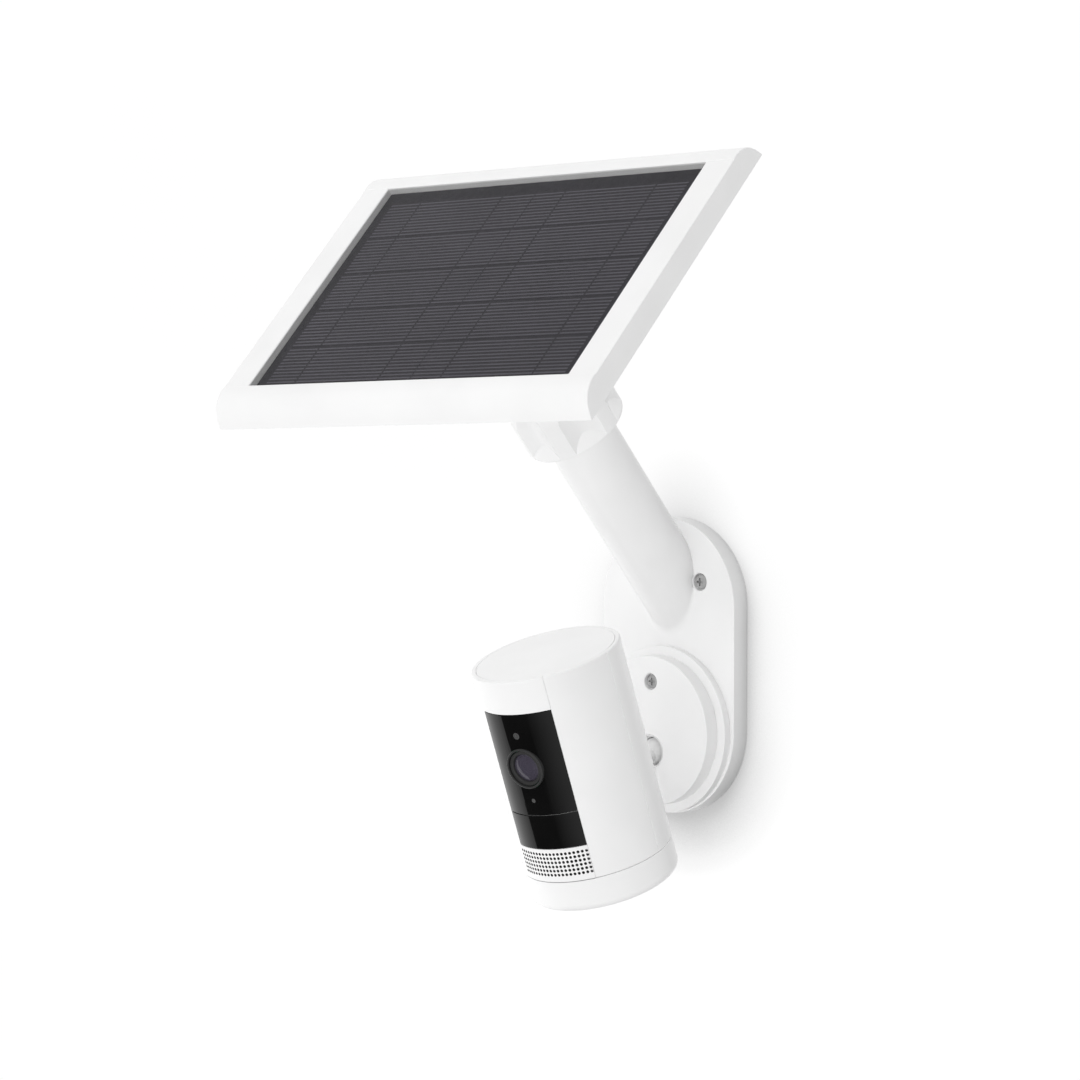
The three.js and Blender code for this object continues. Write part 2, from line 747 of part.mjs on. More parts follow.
function glassGasket() {
  const top = GLASS_SINK + GLASS_THICK + CELLS_THICK + 2 * GAP;
  return cut(
    panelBlock(GLASS_WIDTH - 1, GLASS_DEPTH - 1, top, LEDGE_TOP - GAP),
    panelBlock(LEDGE_WIDTH, LEDGE_DEPTH, 0, LEDGE_TOP + 1),
  );
}

function panelBackCover() {
  const thick = PANEL_TOP - PANEL_UNDERSIDE;
  const plate = panelBlock(
    POCKET_WIDTH - 2 * GAP,
    POCKET_DEPTH - 2 * GAP,
    thick - COVER_THICK,
    thick,
  );
  const corner = coverScrewPlaces().map(([x, y]) => {
    const hole = rod(SMALL_SCREW[2] + 0.4, -thick - 1, 0, COARSE);
    const recess = rod(SMALL_SCREW[0] + 0.4, -thick - 1, -thick + 1.3, COARSE);
    return join(hole, recess).translate([x, y, 0]);
  });
  const towers = hubScrewPlaces().map(([x, y]) =>
    rod(3.4, -thick + COVER_THICK - 0.5, -5.2, COARSE).translate([x, y - PANEL_SHIFT_Y, 0]),
  );
  const threads = hubScrewPlaces().map(([x, y]) =>
    rod(SMALL_SCREW[2] + 0.35, -thick - 1, -5.8, COARSE).translate([x, y - PANEL_SHIFT_Y, 0]),
  );
  const leadHole = rod(4, -thick - 1, 0, COARSE).translate([0, -PANEL_SHIFT_Y, 0]);
  return cut(join(plate, ...towers), ...corner, ...threads, leadHole);
}

// The charge board lies over the lead's entry with its coil and chips on top. Heights are
// below the panel's top.
function panelBoard() {
  const [halfWidth, halfDepth] = [12, 11];
  const [low, high] = [-7.9, -6.7];
  const foot = high - 0.1; // parts are sunk a little into the board they stand on
  const board = block([-halfWidth, -halfDepth, low], [halfWidth, halfDepth, high]);
  const coil = rod(4, foot, -4.6, COARSE).translate([-5, 3, 0]);
  const chip = block([2, -6, foot], [8, 0, -5.6]);
  const connector = block([3, 4, foot], [9, 8, -4.8]);
  return join(board, coil, chip, connector);
}

function coverScrews() {
  const thick = PANEL_TOP - PANEL_UNDERSIDE;
  return coverScrewPlaces().map(([x, y], i) => {
    const mesh = piece(`cover_screw_${i + 1}`, screw(SMALL_SCREW, 5.4), steel);
    mesh.rotation.x = Math.PI;
    mesh.position.set(x, y, -thick + 0.05);
    return mesh;
  });
}

function hubScrews() {
  return hubScrewPlaces().map(([x, y], i) => {
    const mesh = piece(`hub_screw_${i + 1}`, screw(SMALL_SCREW, 8.2), steel);
    mesh.rotation.x = Math.PI;
    mesh.position.set(x, y, HUB_FLANGE_LOW - 0.1);
    return mesh;
  });
}

// --- Camera body -----------------------------------------------------------------------------

function topLid() {
  return turned([[0, -LID_THICK], [LID_RADIUS - SEAM, -LID_THICK], [LID_RADIUS - SEAM, 0], [0, 0]]);
}

function lidSeat() {
  return rod(LID_RADIUS, -LID_THICK - SEAM, 1, FINE);
}

function frontShell() {
  const low = -CAP_SEAM + SEAM;
  const backLow = -SLEEVE_LOW + FLANGE_THICK + GAP;
  const backTop = -LID_THICK - 1;
  const edge = INSERT_ANGLE + SEAM / BODY_RADIUS;
  const wings = [-1, 1].map((side) => {
    const angles = [side * edge, side * REAR_ANGLE].sort((a, b) => a - b);
    return curvedWall(BODY_INNER, BODY_RADIUS, ...angles, low, 0);
  });
  const backing = curvedWall(26.4, BODY_INNER - SEAM, -45 * DEG, 45 * DEG, backLow, backTop);
  const lap = [-1, 1].map((side) => {
    const angles = [side * edge, side * 45 * DEG].sort((a, b) => a - b);
    return curvedWall(27, BODY_INNER + 0.5, ...angles, backLow, backTop);
  });
  const windows = [
    curvedWall(20, 31, -24 * DEG, 24 * DEG, -68, -16),
    curvedWall(20, 31, -28 * DEG, 28 * DEG, -82.6, -70.6),
  ];
  return cut(join(...wings, backing, ...lap), ...windows, lidSeat());
}

function rearShell() {
  const edge = REAR_ANGLE + SEAM / BODY_RADIUS;
  const wall = curvedWall(BODY_INNER, BODY_RADIUS, edge, 2 * Math.PI - edge, -CAP_SEAM + SEAM, 0);
  const towardsBack = (part) => part.rotate([-90, 0, 0]).translate([0, 0, -BALL_BELOW_TOP]);
  const boss = towardsBack(rod(7.5, 18.5, 29));
  const trimmed = boss.intersect(rod(BODY_INNER + 1, -90, 0, FINE));
  const bore = towardsBack(rod(3.8, 10, 40, MEDIUM));
  const cavity = towardsBack(rod(6, 17, 23.5, MEDIUM));
  return cut(join(wall, trimmed), bore, cavity, lidSeat());
}

function faceInsert() {
  const strip = curvedWall(BODY_INNER, BODY_RADIUS, -INSERT_ANGLE, INSERT_ANGLE, -CAP_SEAM + SEAM, 0);
  const floor = BODY_RADIUS - WINDOW_THICK - SEAM;
  const wide = INSERT_ANGLE * 1.1;
  const recess = curvedWall(floor, 31, -wide, wide, -WINDOW_LOW - 0.2, -WINDOW_TOP + 0.2);
  const eye = curvedWall(20, 31, -25 * DEG, 25 * DEG, -52.5, -17);
  const motion = curvedWall(20, 31, -22 * DEG, 22 * DEG, -67.5, -58);
  return cut(strip, recess, eye, motion, lidSeat());
}

function cameraWindow() {
  const angle = INSERT_ANGLE - 0.2 / BODY_RADIUS;
  const inner = BODY_RADIUS - WINDOW_THICK;
  const pane = curvedWall(inner, BODY_RADIUS, -angle, angle, -WINDOW_SPLIT + SEAM / 2, -WINDOW_TOP);
  const hole = facingOut(rod(BEZEL_RADIUS + GAP, 20, 40, MEDIUM), 0, -LENS_DOWN);
  return cut(pane, hole);
}

function sensorWindow() {
  const angle = INSERT_ANGLE - 0.2 / BODY_RADIUS;
  const inner = BODY_RADIUS - WINDOW_THICK;
  return curvedWall(inner, BODY_RADIUS, -angle, angle, -WINDOW_LOW, -WINDOW_SPLIT - SEAM / 2);
}

function lensBezel() {
  const face = BODY_RADIUS + BEZEL_PROUD;
  const back = BODY_RADIUS - 3;
  const profile = [
    [BEZEL_BORE, back],
    [BEZEL_RADIUS, back],
    [BEZEL_RADIUS, face - 0.4],
    [BEZEL_RADIUS - 0.3, face],
    [BEZEL_BORE + 0.2, face],
    [BEZEL_BORE, face - 0.3],
    [BEZEL_BORE, back],
  ];
  return facingOut(turned(profile, MEDIUM), 0, -LENS_DOWN);
}

function lensBarrel() {
  const seatEdge = LENS_RADIUS + 0.2;
  const profile = [
    [0, EYE_BACK],
    [BARREL_STEM, EYE_BACK],
    [BARREL_STEM, 23],
    [BARREL_RADIUS, 23],
    [BARREL_RADIUS, BARREL_FACE],
    [seatEdge + 0.2, BARREL_FACE],
    [seatEdge, BARREL_FACE - 0.6],
    [seatEdge, LENS_SEAT],
    [0, LENS_SEAT],
  ];
  return facingOut(turned(profile, MEDIUM), 0, -LENS_DOWN);
}

function lensGlass() {
  const back = LENS_SEAT + GAP;
  const rim = back + LENS_EDGE_THICK;
  const centre = rim - Math.sqrt(LENS_CROWN ** 2 - LENS_RADIUS ** 2);
  const edge = Math.acos(LENS_RADIUS / LENS_CROWN);
  const profile = [[0, back], [LENS_RADIUS, back], [LENS_RADIUS, rim]];
  profile.push(...arc(LENS_CROWN, centre, edge, Math.PI / 2, ARC_STEPS));
  return facingOut(turned(profile, MEDIUM), 0, -LENS_DOWN);
}

// A can or emitter on legs behind a window, facing forwards.
function behindWindow(radius, front, down, sides = COARSE) {
  return facingOut(rod(radius, SENSOR_BACK, front, sides), 0, -down);
}

// The main board stands between the battery's bay and the lens, its parts facing forwards.
function mainBoard() {
  const half = 20;
  const [back, front] = [-12.2, -13.4];
  const [low, high] = [-68, -14];
  const foot = front + 0.1;
  const board = block([-half, front, low], [half, back, high]);
  const shield = block([-16, front - 1.4, low + 2], [2, foot, low + 17]);
  const chip = block([5, front - 1.2, low + 4], [15, foot, low + 14]);
  return join(board, shield, chip);
}

function imageBoard() {
  const half = 11;
  return block([-half, -16.8, -LENS_DOWN - half], [half, -15.8, -LENS_DOWN + half]);
}

function batterySleeve() {
  const half = SLEEVE_WIDTH / 2;
  const outer = block([-half, SLEEVE_FRONT, -SLEEVE_LOW], [half, SLEEVE_BACK, -SLEEVE_TOP]);
  const flange = rod(FLANGE_RADIUS, -SLEEVE_LOW, -SLEEVE_LOW + FLANGE_THICK, FINE);
  const bay = block(
    [-half + SLEEVE_WALL, SLEEVE_FRONT + SLEEVE_WALL, -SLEEVE_LOW - 1],
    [half - SLEEVE_WALL, SLEEVE_BACK - SLEEVE_WALL, -SLEEVE_TOP - SLEEVE_WALL],
  );
  const contactSlot = block([-8, -2, -20], [8, 7, -10]);
  const buttonHole = rod(BUTTON_RADIUS + 0.4, -90, -70, COARSE).translate([0, BUTTON_Y, 0]);
  return cut(join(outer, flange), bay, contactSlot, buttonHole);
}

function batteryContacts() {
  const half = 7.5;
  const [low, high] = [-16, -11.5];
  const holder = block([-half, -1.5, low], [half, 6.5, high]);
  const springs = [-5, 0, 5].map((x) =>
    block([x - 0.8, 1.5, low - 1.6], [x + 0.8, 3.5, low + 0.1]),
  );
  return join(holder, ...springs);
}

function batteryPack() {
  const half = BATTERY_WIDTH / 2;
  const shape = new THREE.Shape();
  const round = 3;
  const [back, front] = [BATTERY_BACK, BATTERY_FRONT];
  shape.absarc(half - round, back - round, round, 0, Math.PI / 2, false);
  shape.absarc(-half + round, back - round, round, Math.PI / 2, Math.PI, false);
  shape.absarc(-half + round, front + round, round, Math.PI, 1.5 * Math.PI, false);
  shape.absarc(half - round, front + round, round, 1.5 * Math.PI, 2 * Math.PI, false);
  const pack = slab(shape, -BATTERY_LOW, -BATTERY_TOP, 4);
  const wide = LATCH_WIDTH / 2 + GAP;
  const recess = block(
    [-wide, BATTERY_FRONT - 1, -BATTERY_LOW - 1],
    [wide, BATTERY_FRONT + LATCH_RECESS, -BATTERY_LOW + LATCH_HEIGHT + 1],
  );
  return cut(pack, recess);
}

function batteryLatch() {
  const half = LATCH_WIDTH / 2;
  return block(
    [-half, BATTERY_FRONT, -BATTERY_LOW],
    [half, BATTERY_FRONT + LATCH_THICK, -BATTERY_LOW + LATCH_HEIGHT],
  );
}

function setupButton() {
  const low = -SLEEVE_LOW - 0.8;
  const high = -SLEEVE_LOW + FLANGE_THICK;
  const profile = [
    [0, low],
    [BUTTON_RADIUS, low],
    [BUTTON_RADIUS, high + GAP],
    [BUTTON_RADIUS + 0.9, high + GAP],
    [BUTTON_RADIUS + 0.9, high + 1.3],
    [0, high + 1.3],
  ];
  return turned(profile, COARSE).translate([0, BUTTON_Y, 0]);
}

function capSeal() {
  const shape = new THREE.TorusGeometry(26.5, 0.5, 6, 32);
  shape.translate(0, 0, -84.7);
  return solid(shape);
}

function bottomCap() {
  const high = -CAP_SEAM - SEAM / 3;
  const low = -BODY_LENGTH;
  const profile = [
    [0, low],
    [BODY_RADIUS - 4.5, low],
    [BODY_RADIUS - 2.4, low + 0.5],
    [BODY_RADIUS - 0.8, low + 1.8],
    [BODY_RADIUS, low + 4],
    [BODY_RADIUS, high],
    [BODY_INNER - 0.3, high],
    [BODY_INNER - 0.3, low + 4],
    [BODY_RADIUS - 5.5, low + 2.4],
    [0, low + 2.4],
  ];
  return turned(profile);
}

function speaker() {
  const [wide, tall] = [14, 5];
  const rim = block([-wide, -25.2, -SPEAKER_DOWN - tall], [wide, -23.8, -SPEAKER_DOWN + tall]);
  const [half, height] = [9, 4.2];
  const magnet = block([-half, -24.5, -SPEAKER_DOWN - height], [half, -15, -SPEAKER_DOWN + height]);
  return join(rim, magnet).intersect(rod(26, -90, 0, FINE));
}

// The camera's ball, its neck and the stem that the camera turns on, along +Z from the ball.
function cameraBallStud() {
  const surface = BALL_TO_AXIS - BODY_RADIUS;
  const neck = Math.acos(CAMERA_NECK / CAMERA_BALL);
  const tip = BALL_TO_AXIS - 20.5;
  const profile = [
    [0, -CAMERA_BALL],
    ...arc(CAMERA_BALL, 0, -Math.PI / 2 + 0.2, neck, 2 * ARC_STEPS),
    [CAMERA_NECK, 11],
    [6, surface - 3.4],
    [7, surface - 1],
    [7, surface - 0.4],
    [3.5, surface - 0.4],
    [3.5, tip],
    [0, tip],
  ];
  return turned(profile, MEDIUM);
}

// --- Assembly --------------------------------------------------------------------------------

function placed(parent, { at = [0, 0, 0], turn = [0, 0, 0] } = {}) {
  const group = new THREE.Group();
  group.position.set(...at);
  group.rotation.set(...turn);
  parent.add(group);
  return group;
}

function addWallSide(root) {
  root.add(piece("wall_plate", wallPlate(), white));
  root.add(...wallScrews());
  root.add(piece("adapter_ring", adapterRing(), white));
  root.add(piece("mount_base", mountBase(), white));
  root.add(...baseScrews());
  root.add(piece("ball_retainer", ballRetainer(), satinWhite));
  root.add(piece("arm_lead", armLead(), rubber));
}

function addPanel(root) {
  const arm = placed(root, { at: [0, -PLATE_DEPTH, ARM_FOOT_Z], turn: [ARM_LEAN, 0, 0] });
  arm.add(piece("socket_cup", socketCup(), darkPlastic));
  arm.add(piece("locking_collar", lockingCollar(), white));
  const swivel = placed(arm, { at: [0, 0, PANEL_BALL_AT], turn: [0, 0, PANEL_SWIVEL] });
  const liner = ballLiner(PANEL_LINER_IN, PANEL_LINER_OUT, -33 * DEG, 25 * DEG, FINE);
  swivel.add(piece("panel_ball_liner", liner, darkPlastic));
  const tilt = placed(swivel, { turn: [PANEL_TILT, 0, 0] });
  tilt.add(piece("panel_ball_stud", panelBallStud(), satinWhite));
  tilt.add(piece("stud_nut", studNut(), steel));
  tilt.add(piece("panel_lead", rod(1.6, -8.5, PANEL_TOP - 8.4, COARSE), rubber));
  const spin = placed(tilt, { turn: [0, 0, PANEL_SPIN] });
  spin.add(piece("panel_hub", panelHub(), white));
  spin.add(...hubScrews());
  const panel = placed(spin, { at: [0, PANEL_SHIFT_Y, PANEL_TOP] });
  panel.add(piece("panel_frame", panelFrame(), white));
  panel.add(piece("panel_back_cover", panelBackCover(), satinWhite));
  panel.add(piece("panel_glass", panelGlass(), clearGlass));
  panel.add(piece("solar_cells", cellSheet(), siliconCells));
  panel.add(piece("glass_gasket", glassGasket(), rubber));
  panel.add(piece("charge_board", panelBoard(), boardGreen));
  panel.add(...coverScrews());
}

function addCamera(root) {
  const ball = [0, -BASE_FACE + CAMERA_BALL_DEPTH, CAMERA_BALL_Z];
  const pan = placed(root, { at: ball, turn: [0, 0, CAMERA_PAN] });
  const standUp = (part) => part.rotate([90, 0, 0]);
  const liner = ballLiner(CAMERA_LINER_IN, CAMERA_LINER_OUT, -30 * DEG, 25 * DEG, MEDIUM);
  pan.add(piece("camera_ball_liner", standUp(liner), satinWhite));
  const tilt = placed(pan, { turn: [CAMERA_TILT, 0, 0] });
  tilt.add(piece("camera_ball_stud", standUp(cameraBallStud()), satinWhite));
  const roll = placed(tilt, { turn: [0, CAMERA_ROLL, 0] });
  const body = placed(roll, { at: [0, -BALL_TO_AXIS, BALL_BELOW_TOP] });
  body.add(piece("top_lid", topLid(), white));
  body.add(piece("front_shell", frontShell(), white));
  body.add(piece("rear_shell", rearShell(), white));
  body.add(piece("face_insert", faceInsert(), white));
  body.add(piece("camera_window", cameraWindow(), glossBlack));
  body.add(piece("sensor_window", sensorWindow(), glossBlack));
  body.add(piece("lens_bezel", lensBezel(), darkPlastic));
  body.add(piece("lens_barrel", lensBarrel(), darkPlastic));
  body.add(piece("lens_glass", lensGlass(), clearGlass));
  body.add(piece("image_board", imageBoard(), boardGreen));
  body.add(piece("light_sensor", behindWindow(1.5, SENSOR_FRONT, LIGHT_SENSOR_DOWN), darkPlastic));
  body.add(piece("status_led", behindWindow(1, SENSOR_FRONT, LED_DOWN), softWhite));
  body.add(piece("motion_sensor", behindWindow(4.5, SENSOR_FRONT - 0.4, MOTION_DOWN, MEDIUM), softWhite));
  body.add(piece("speaker", speaker(), darkPlastic));
  body.add(piece("main_board", mainBoard(), boardGreen));
  body.add(piece("battery_sleeve", batterySleeve(), darkPlastic));
  body.add(piece("battery_contacts", batteryContacts(), gold));
  body.add(piece("battery_pack", batteryPack(), darkPlastic));
  body.add(piece("battery_latch", batteryLatch(), softWhite));
  body.add(piece("setup_button", setupButton(), softWhite));
  body.add(piece("cap_seal", capSeal(), rubber));
  body.add(piece("bottom_cap", bottomCap(), white));
}

const camera = new THREE.Group();
addWallSide(camera);
addPanel(camera);
addCamera(camera);

export default camera;
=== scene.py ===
"""Looks of a solar-powered security camera on its wall bracket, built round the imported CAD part.

Every piece is shaped in millimetres in the local frame of what it belongs to (wall, arm, solar
panel, camera) and then carried into the row frame, so sizes read like the CAD part's own.
"""

import json
import math

import bmesh
import bpy
import numpy as np
from mathutils import Matrix, Vector


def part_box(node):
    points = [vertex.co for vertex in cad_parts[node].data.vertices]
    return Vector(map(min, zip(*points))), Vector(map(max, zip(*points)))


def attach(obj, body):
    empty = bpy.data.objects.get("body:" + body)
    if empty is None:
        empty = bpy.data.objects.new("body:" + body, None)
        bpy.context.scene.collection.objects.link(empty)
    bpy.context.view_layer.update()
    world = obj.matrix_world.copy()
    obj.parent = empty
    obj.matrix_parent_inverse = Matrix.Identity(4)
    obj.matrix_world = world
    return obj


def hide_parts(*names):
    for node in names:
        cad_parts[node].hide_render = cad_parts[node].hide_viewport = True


MM = 0.001

# Wall plate and arm
HALF_PLATE = 60
PLATE_SKIN = 3.2
PLATE_WALL = 3.0
RIB = (-3.0, 10.0)
LEAD_CHANNEL = (5.5, 10.5)
LEAD_HOLE = 3.7
WALL_POST = 6
BASE_POST = 4.6
ARM_LEAN = math.radians(41.14)
ARM_FOOT = 35.55
ARM_RADIUS = 14.13
ARM_BORE = 10.5
ARM_LENGTH = 97.5
CUP_SEAT = 84.0
CUP_BORE = 12.6
FOOT_BLEND = 2.6
BALL_ALONG_ARM = 103.0

# Ball of the solar panel, in the arm's end and the locking collar
PANEL_BALL = 11.5
PANEL_SOCKET = 13.3
PANEL_LINER = (11.8, 13.0, -33, 25)
SOCKET_BORE = 3.0
STUD_NECK = 5.5
STUD_SHOULDER = 29.7
STUD_SPIGOT = 4.5
STUD_BORE = 2.3
HUB_FLANGE = 47.4
HUB_RADIUS = 26.0
HUB_BORE = 4.8
NUT_RADIUS = 7.6

# Locking collar
COLLAR_RADIUS = 21.0
COLLAR_LOBES = 6
LOBE_ANGLE = math.radians(19.0)
FIRST_LOBE = math.radians(-1.5)
SCALLOP_DEPTH = 3.4
COLLAR_STRAIGHT = 15.0
GRIP_RUN_OUT = 6.0
COLLAR_BORE = 14.5

# Solar panel
PANEL_CREASE = 56.4
PANEL_NOSE = (67.0, 0.9)
NOSE_STEP = 0.25
LEDGE = (158.0, 103.0)
LEDGE_TOP = 4.6
LEDGE_LOW = 6.1
POCKET = (186.0, 128.0)
COVER_THICK = 2.0
CORNER_BLOCK = 12.0
SHEET_DROP = 0.12
CELL_ROWS = 5
CELL_COLUMNS = 2
FINGERS_PER_ROW = 11
CELL_MARGINS = (0.028, 0.022, 0.055)  # shares of the sheet at the sides, in front and behind
CELL_GAP = (0.22, 0.45)
FINGER_HALF_WIDTH = 0.4
BUSBARS = (0.105, 0.39, 0.60, 0.895)

# Round base
BASE_SKIN = 2.2
BASE_WALL = 2.4
SOCKET_RADIUS = 6.9
SOCKET_MOUTH = 6.6
RETAINER_RADIUS = 8.1
CAMERA_LINER = (5.8, 6.6, -30, 6)
CAMERA_BALL = 5.5
STEM_NECK = 2.5

# Camera body, measured down from its top
BODY_RADIUS = 30.0
BODY_WALL = 2.2
SEAM = 0.3
INSERT_ANGLE = 33.0
REAR_ANGLE = 90.0
LAP_ANGLE = 45
STEM_BOSS = 7.5
STEM_HOLE = 3.8
STEM_NUT_ROOM = 6
WINDOW_THICK = 1.0
CAP_FLOOR = 2.4
CAP_ROUND = 3.4
LENS_DOWN = 35.9
BEZEL_RADIUS = 8.35
BEZEL_BORE = 7.5
BARREL_RADIUS = 7.2
BARREL_FACE = 29.7
LENS_SEAT = 28.0
LENS_RADIUS = 5.5
GRILLE_ROWS = 6
GRILLE_COLUMNS = 20
GRILLE_PITCH = (1.74, 1.75)
GRILLE_HOLE = 0.6
GRILLE_LAST_ROW = 80.95
HAIRLINE = 0.1  # the visible gap left between two mouldings

# Screws: head radius, head height, shank radius, thread pitch
WALL_SCREW = (3.1, 1.8, 2.0, 1.8)
BASE_SCREW = (2.9, 1.6, 1.5, 1.1)
SMALL_SCREW = (2.8, 1.2, 1.3, 0.9)
HUB_SCREW_LENGTH = 8.2
COVER_SCREW_LENGTH = 5.4
# Room for the heads: depth, radius at the floor, radius near the face, where it widens, mouth
WALL_RECESS = (2, 3.45, 3.5, 0.35, 3.9)
BASE_RECESS = (2.6, 3.3, 3.3, 0.3, 3.65)
WALL_SCREW_HOLE = 2.4
BASE_SCREW_HOLE = 1.9
BASE_PILOT_HOLE = 1.85
SMALL_HEAD_HOLE = 3.2
SMALL_SCREW_HOLE = 1.7
SMALL_PILOT_HOLE = 1.65

# The view of the photographed object
VIEW_AZIMUTH = math.radians(43.73)
VIEW_ELEVATION = math.radians(3.86)
VIEW_DISTANCE = 1488.04
VIEW_LENS = 125.64
VIEW_AIM = (-12.14, -70.36, 53.45)

# Room: reach and tone of the shadow painted round what stands on it, and the light its glow gives back
ROOM_HALF_WIDTH = 4.0
WALL_FOOT = -0.6
WALL_CURVE = 0.4
FLOOR_END = (-4.0, -1.0)
SHADOW_REACH = 0.028
SHADOW_TONE = 0.50
BOUNCE_REACH = 0.05
WALL_BOUNCE = 1.0
LIGHT_FROM = (-0.5, -1.0, -0.4)

# Light from all round, and what glossy faces mirror: each row adds a ramp along a direction,
# as (direction, where it starts, where it ends, what it adds before, what it adds after)
SOFT_LIGHT = 0.86
LIT_FROM = (((1, 0, 0), 0, 1, 0, -0.66),)
MIRRORED = (
    ((1, 0, 0), -0.1, 0.6, 0.02, 0.55),
    ((-0.7, 0.7, 0), 0.5, 0.9, 0.0, 1.0),
    ((0, 0, 1), 0.3, 0.55, 0.0, 0.25),
)
FILL_FROM = (0.25, -0.9, 0.3)
FILL_STRENGTH = 0.38
KEY_AT = (-1.0, -1.3, 1.1)
KEY_AIM = (0.0, -0.07, 0.05)
KEY_SIZE = 0.8
KEY_POWER = 3
STRIP_ANGLES = (-58.5, -118)
STRIP_RADIUS = 1.1
STRIP_GLOW = (0.55, 1.7)

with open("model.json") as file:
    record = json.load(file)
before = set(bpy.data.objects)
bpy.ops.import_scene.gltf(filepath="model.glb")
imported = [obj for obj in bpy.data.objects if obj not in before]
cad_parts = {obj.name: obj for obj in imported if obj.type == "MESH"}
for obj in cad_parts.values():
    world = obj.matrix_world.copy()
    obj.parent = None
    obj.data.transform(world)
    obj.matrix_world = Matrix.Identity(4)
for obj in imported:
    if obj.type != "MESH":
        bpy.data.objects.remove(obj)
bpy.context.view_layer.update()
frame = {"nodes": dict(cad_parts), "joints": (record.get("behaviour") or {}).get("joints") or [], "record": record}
scene = bpy.context.scene
JOINTS = {joint["name"]: joint for joint in frame["joints"]}
SLOTS = {part["node"]: part["material_slot"] for part in frame["record"]["subparts"]}
BODIES = frame["record"]["behaviour"]["bodies"]
BODY_OF = {node: body for body, nodes in BODIES.items() for node in nodes}


# --- Local frames -----------------------------------------------------------------------------


class Place:
    """A local frame: its origin in millimetres and its three axes in the row frame."""

    def __init__(self, origin, x, z):
        self.origin = np.array(origin, float)
        z = np.array(z, float) / np.linalg.norm(z)
        y = np.cross(z, x)
        y /= np.linalg.norm(y)
        self.axes = np.array([np.cross(y, z), y, z])

    def world(self, points):
        return (self.origin + np.asarray(points) @ self.axes) * MM

    def local(self, points):
        return (np.asarray(points) / MM - self.origin) @ self.axes.T

    def moved(self, x, y, z):
        origin = self.origin + np.array([x, y, z]) @ self.axes
        return Place(origin, self.axes[0], self.axes[2])


def node_points(node):
    return np.array([vertex.co for vertex in frame["nodes"][node].data.vertices])


def extent(node, place):
    """Lowest and highest local coordinates of a CAD node."""
    points = place.local(node_points(node))
    return points.min(0), points.max(0)


def heights(node, place):
    """Lowest and highest z of a CAD node in a local frame."""
    return tuple(side[2] for side in extent(node, place))


def flat_centre(node, place):
    """Middle of a CAD node in x and y of a local frame."""
    low, high = extent(node, place)
    return (low + high)[:2] / 2


def middle(node):
    low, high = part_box(node)
    return np.array((low + high) / 2)


def joint_axis(name):
    return np.array(JOINTS[name]["axis"], float)


def joint_at(name):
    return np.array(JOINTS[name]["pos_m"], float) / MM


WALL = Place((0, 0, 0), (1, 0, 0), (0, -1, 0))
SOCKET_DEPTH = -joint_at("camera_roll")[1]
ARM = Place(joint_at("panel_spin"), (1, 0, 0), joint_axis("collar_turn"))
PANEL_LENGTHWAYS = middle("cover_screw_3") - middle("cover_screw_1")
PANEL = Place(joint_at("panel_spin"), PANEL_LENGTHWAYS, joint_axis("panel_spin"))
STUD = Place(joint_at("panel_spin"), (1, 0, 0), joint_axis("panel_spin"))
CAMERA_UP = -joint_axis("cap_pull")
CAMERA_ACROSS = np.cross(joint_axis("latch_press"), CAMERA_UP)
AT_BALL = Place(joint_at("camera_roll"), CAMERA_ACROSS, CAMERA_UP)
LID_HIGH = extent("top_lid", AT_BALL)[1]
CAMERA = AT_BALL.moved(*flat_centre("top_lid", AT_BALL), LID_HIGH[2])
STEM = Place(joint_at("camera_roll"), CAMERA_ACROSS, -joint_axis("camera_roll"))
LINER = Place(joint_at("camera_roll"), (0, 0, 1), np.cross(joint_axis("camera_tilt"), (0, 0, 1)))


# --- Shapes -----------------------------------------------------------------------------------


class Shape:
    """Points and faces of one closed body, in local millimetres."""

    def __init__(self, points, faces):
        self.points = np.asarray(points, float).reshape(-1, 3)
        self.faces = [tuple(int(i) for i in face) for face in faces]

    def moved(self, x=0, y=0, z=0):
        return Shape(self.points + (x, y, z), self.faces)

    def rotated(self, axis, degrees):
        turn = np.array(Matrix.Rotation(math.radians(degrees), 3, axis))
        return Shape(self.points @ turn.T, self.faces)

    def bent(self, rule):
        return Shape(rule(self.points), self.faces)

    def __add__(self, other):
        shift = len(self.points)
        faces = self.faces + [tuple(i + shift for i in face) for face in other.faces]
        return Shape(np.vstack([self.points, other.points]), faces)


def together(shapes):
    total = shapes[0]
    for shape in shapes[1:]:
        total = total + shape
    return total


def cleaned(shape):
    """Merges equal points, drops what collapses and turns all faces outwards."""
    work = bmesh.new()
    vertices = [work.verts.new(point) for point in shape.points]
    for face in shape.faces:
        work.faces.new([vertices[i] for i in face])
    bmesh.ops.remove_doubles(work, verts=work.verts, dist=1e-4)
    loose = [edge for edge in work.edges if not edge.link_faces]
    bmesh.ops.delete(work, geom=loose, context="EDGES")
    bmesh.ops.recalc_face_normals(work, faces=work.faces)
    work.verts.index_update()
    points = [tuple(vertex.co) for vertex in work.verts]
    faces = [[vertex.index for vertex in face.verts] for face in work.faces]
    work.free()
    return Shape(points, faces)


def skin(rings, loop=False):
    """A body through rings of equal length. Its ends are capped unless it closes on itself."""
    rings = [np.asarray(ring, float) for ring in rings]
    count = len(rings[0])
    last = len(rings) if loop else len(rings) - 1
    faces = []
    for i in range(last):
        a, b = i * count, ((i + 1) % len(rings)) * count
        for j in range(count):
            k = (j + 1) % count
            faces.append((a + j, a + k, b + k, b + j))
    if not loop:
        faces.append(range(count))
        faces.append(range((len(rings) - 1) * count, len(rings) * count))
    return cleaned(Shape(np.vstack(rings), faces))


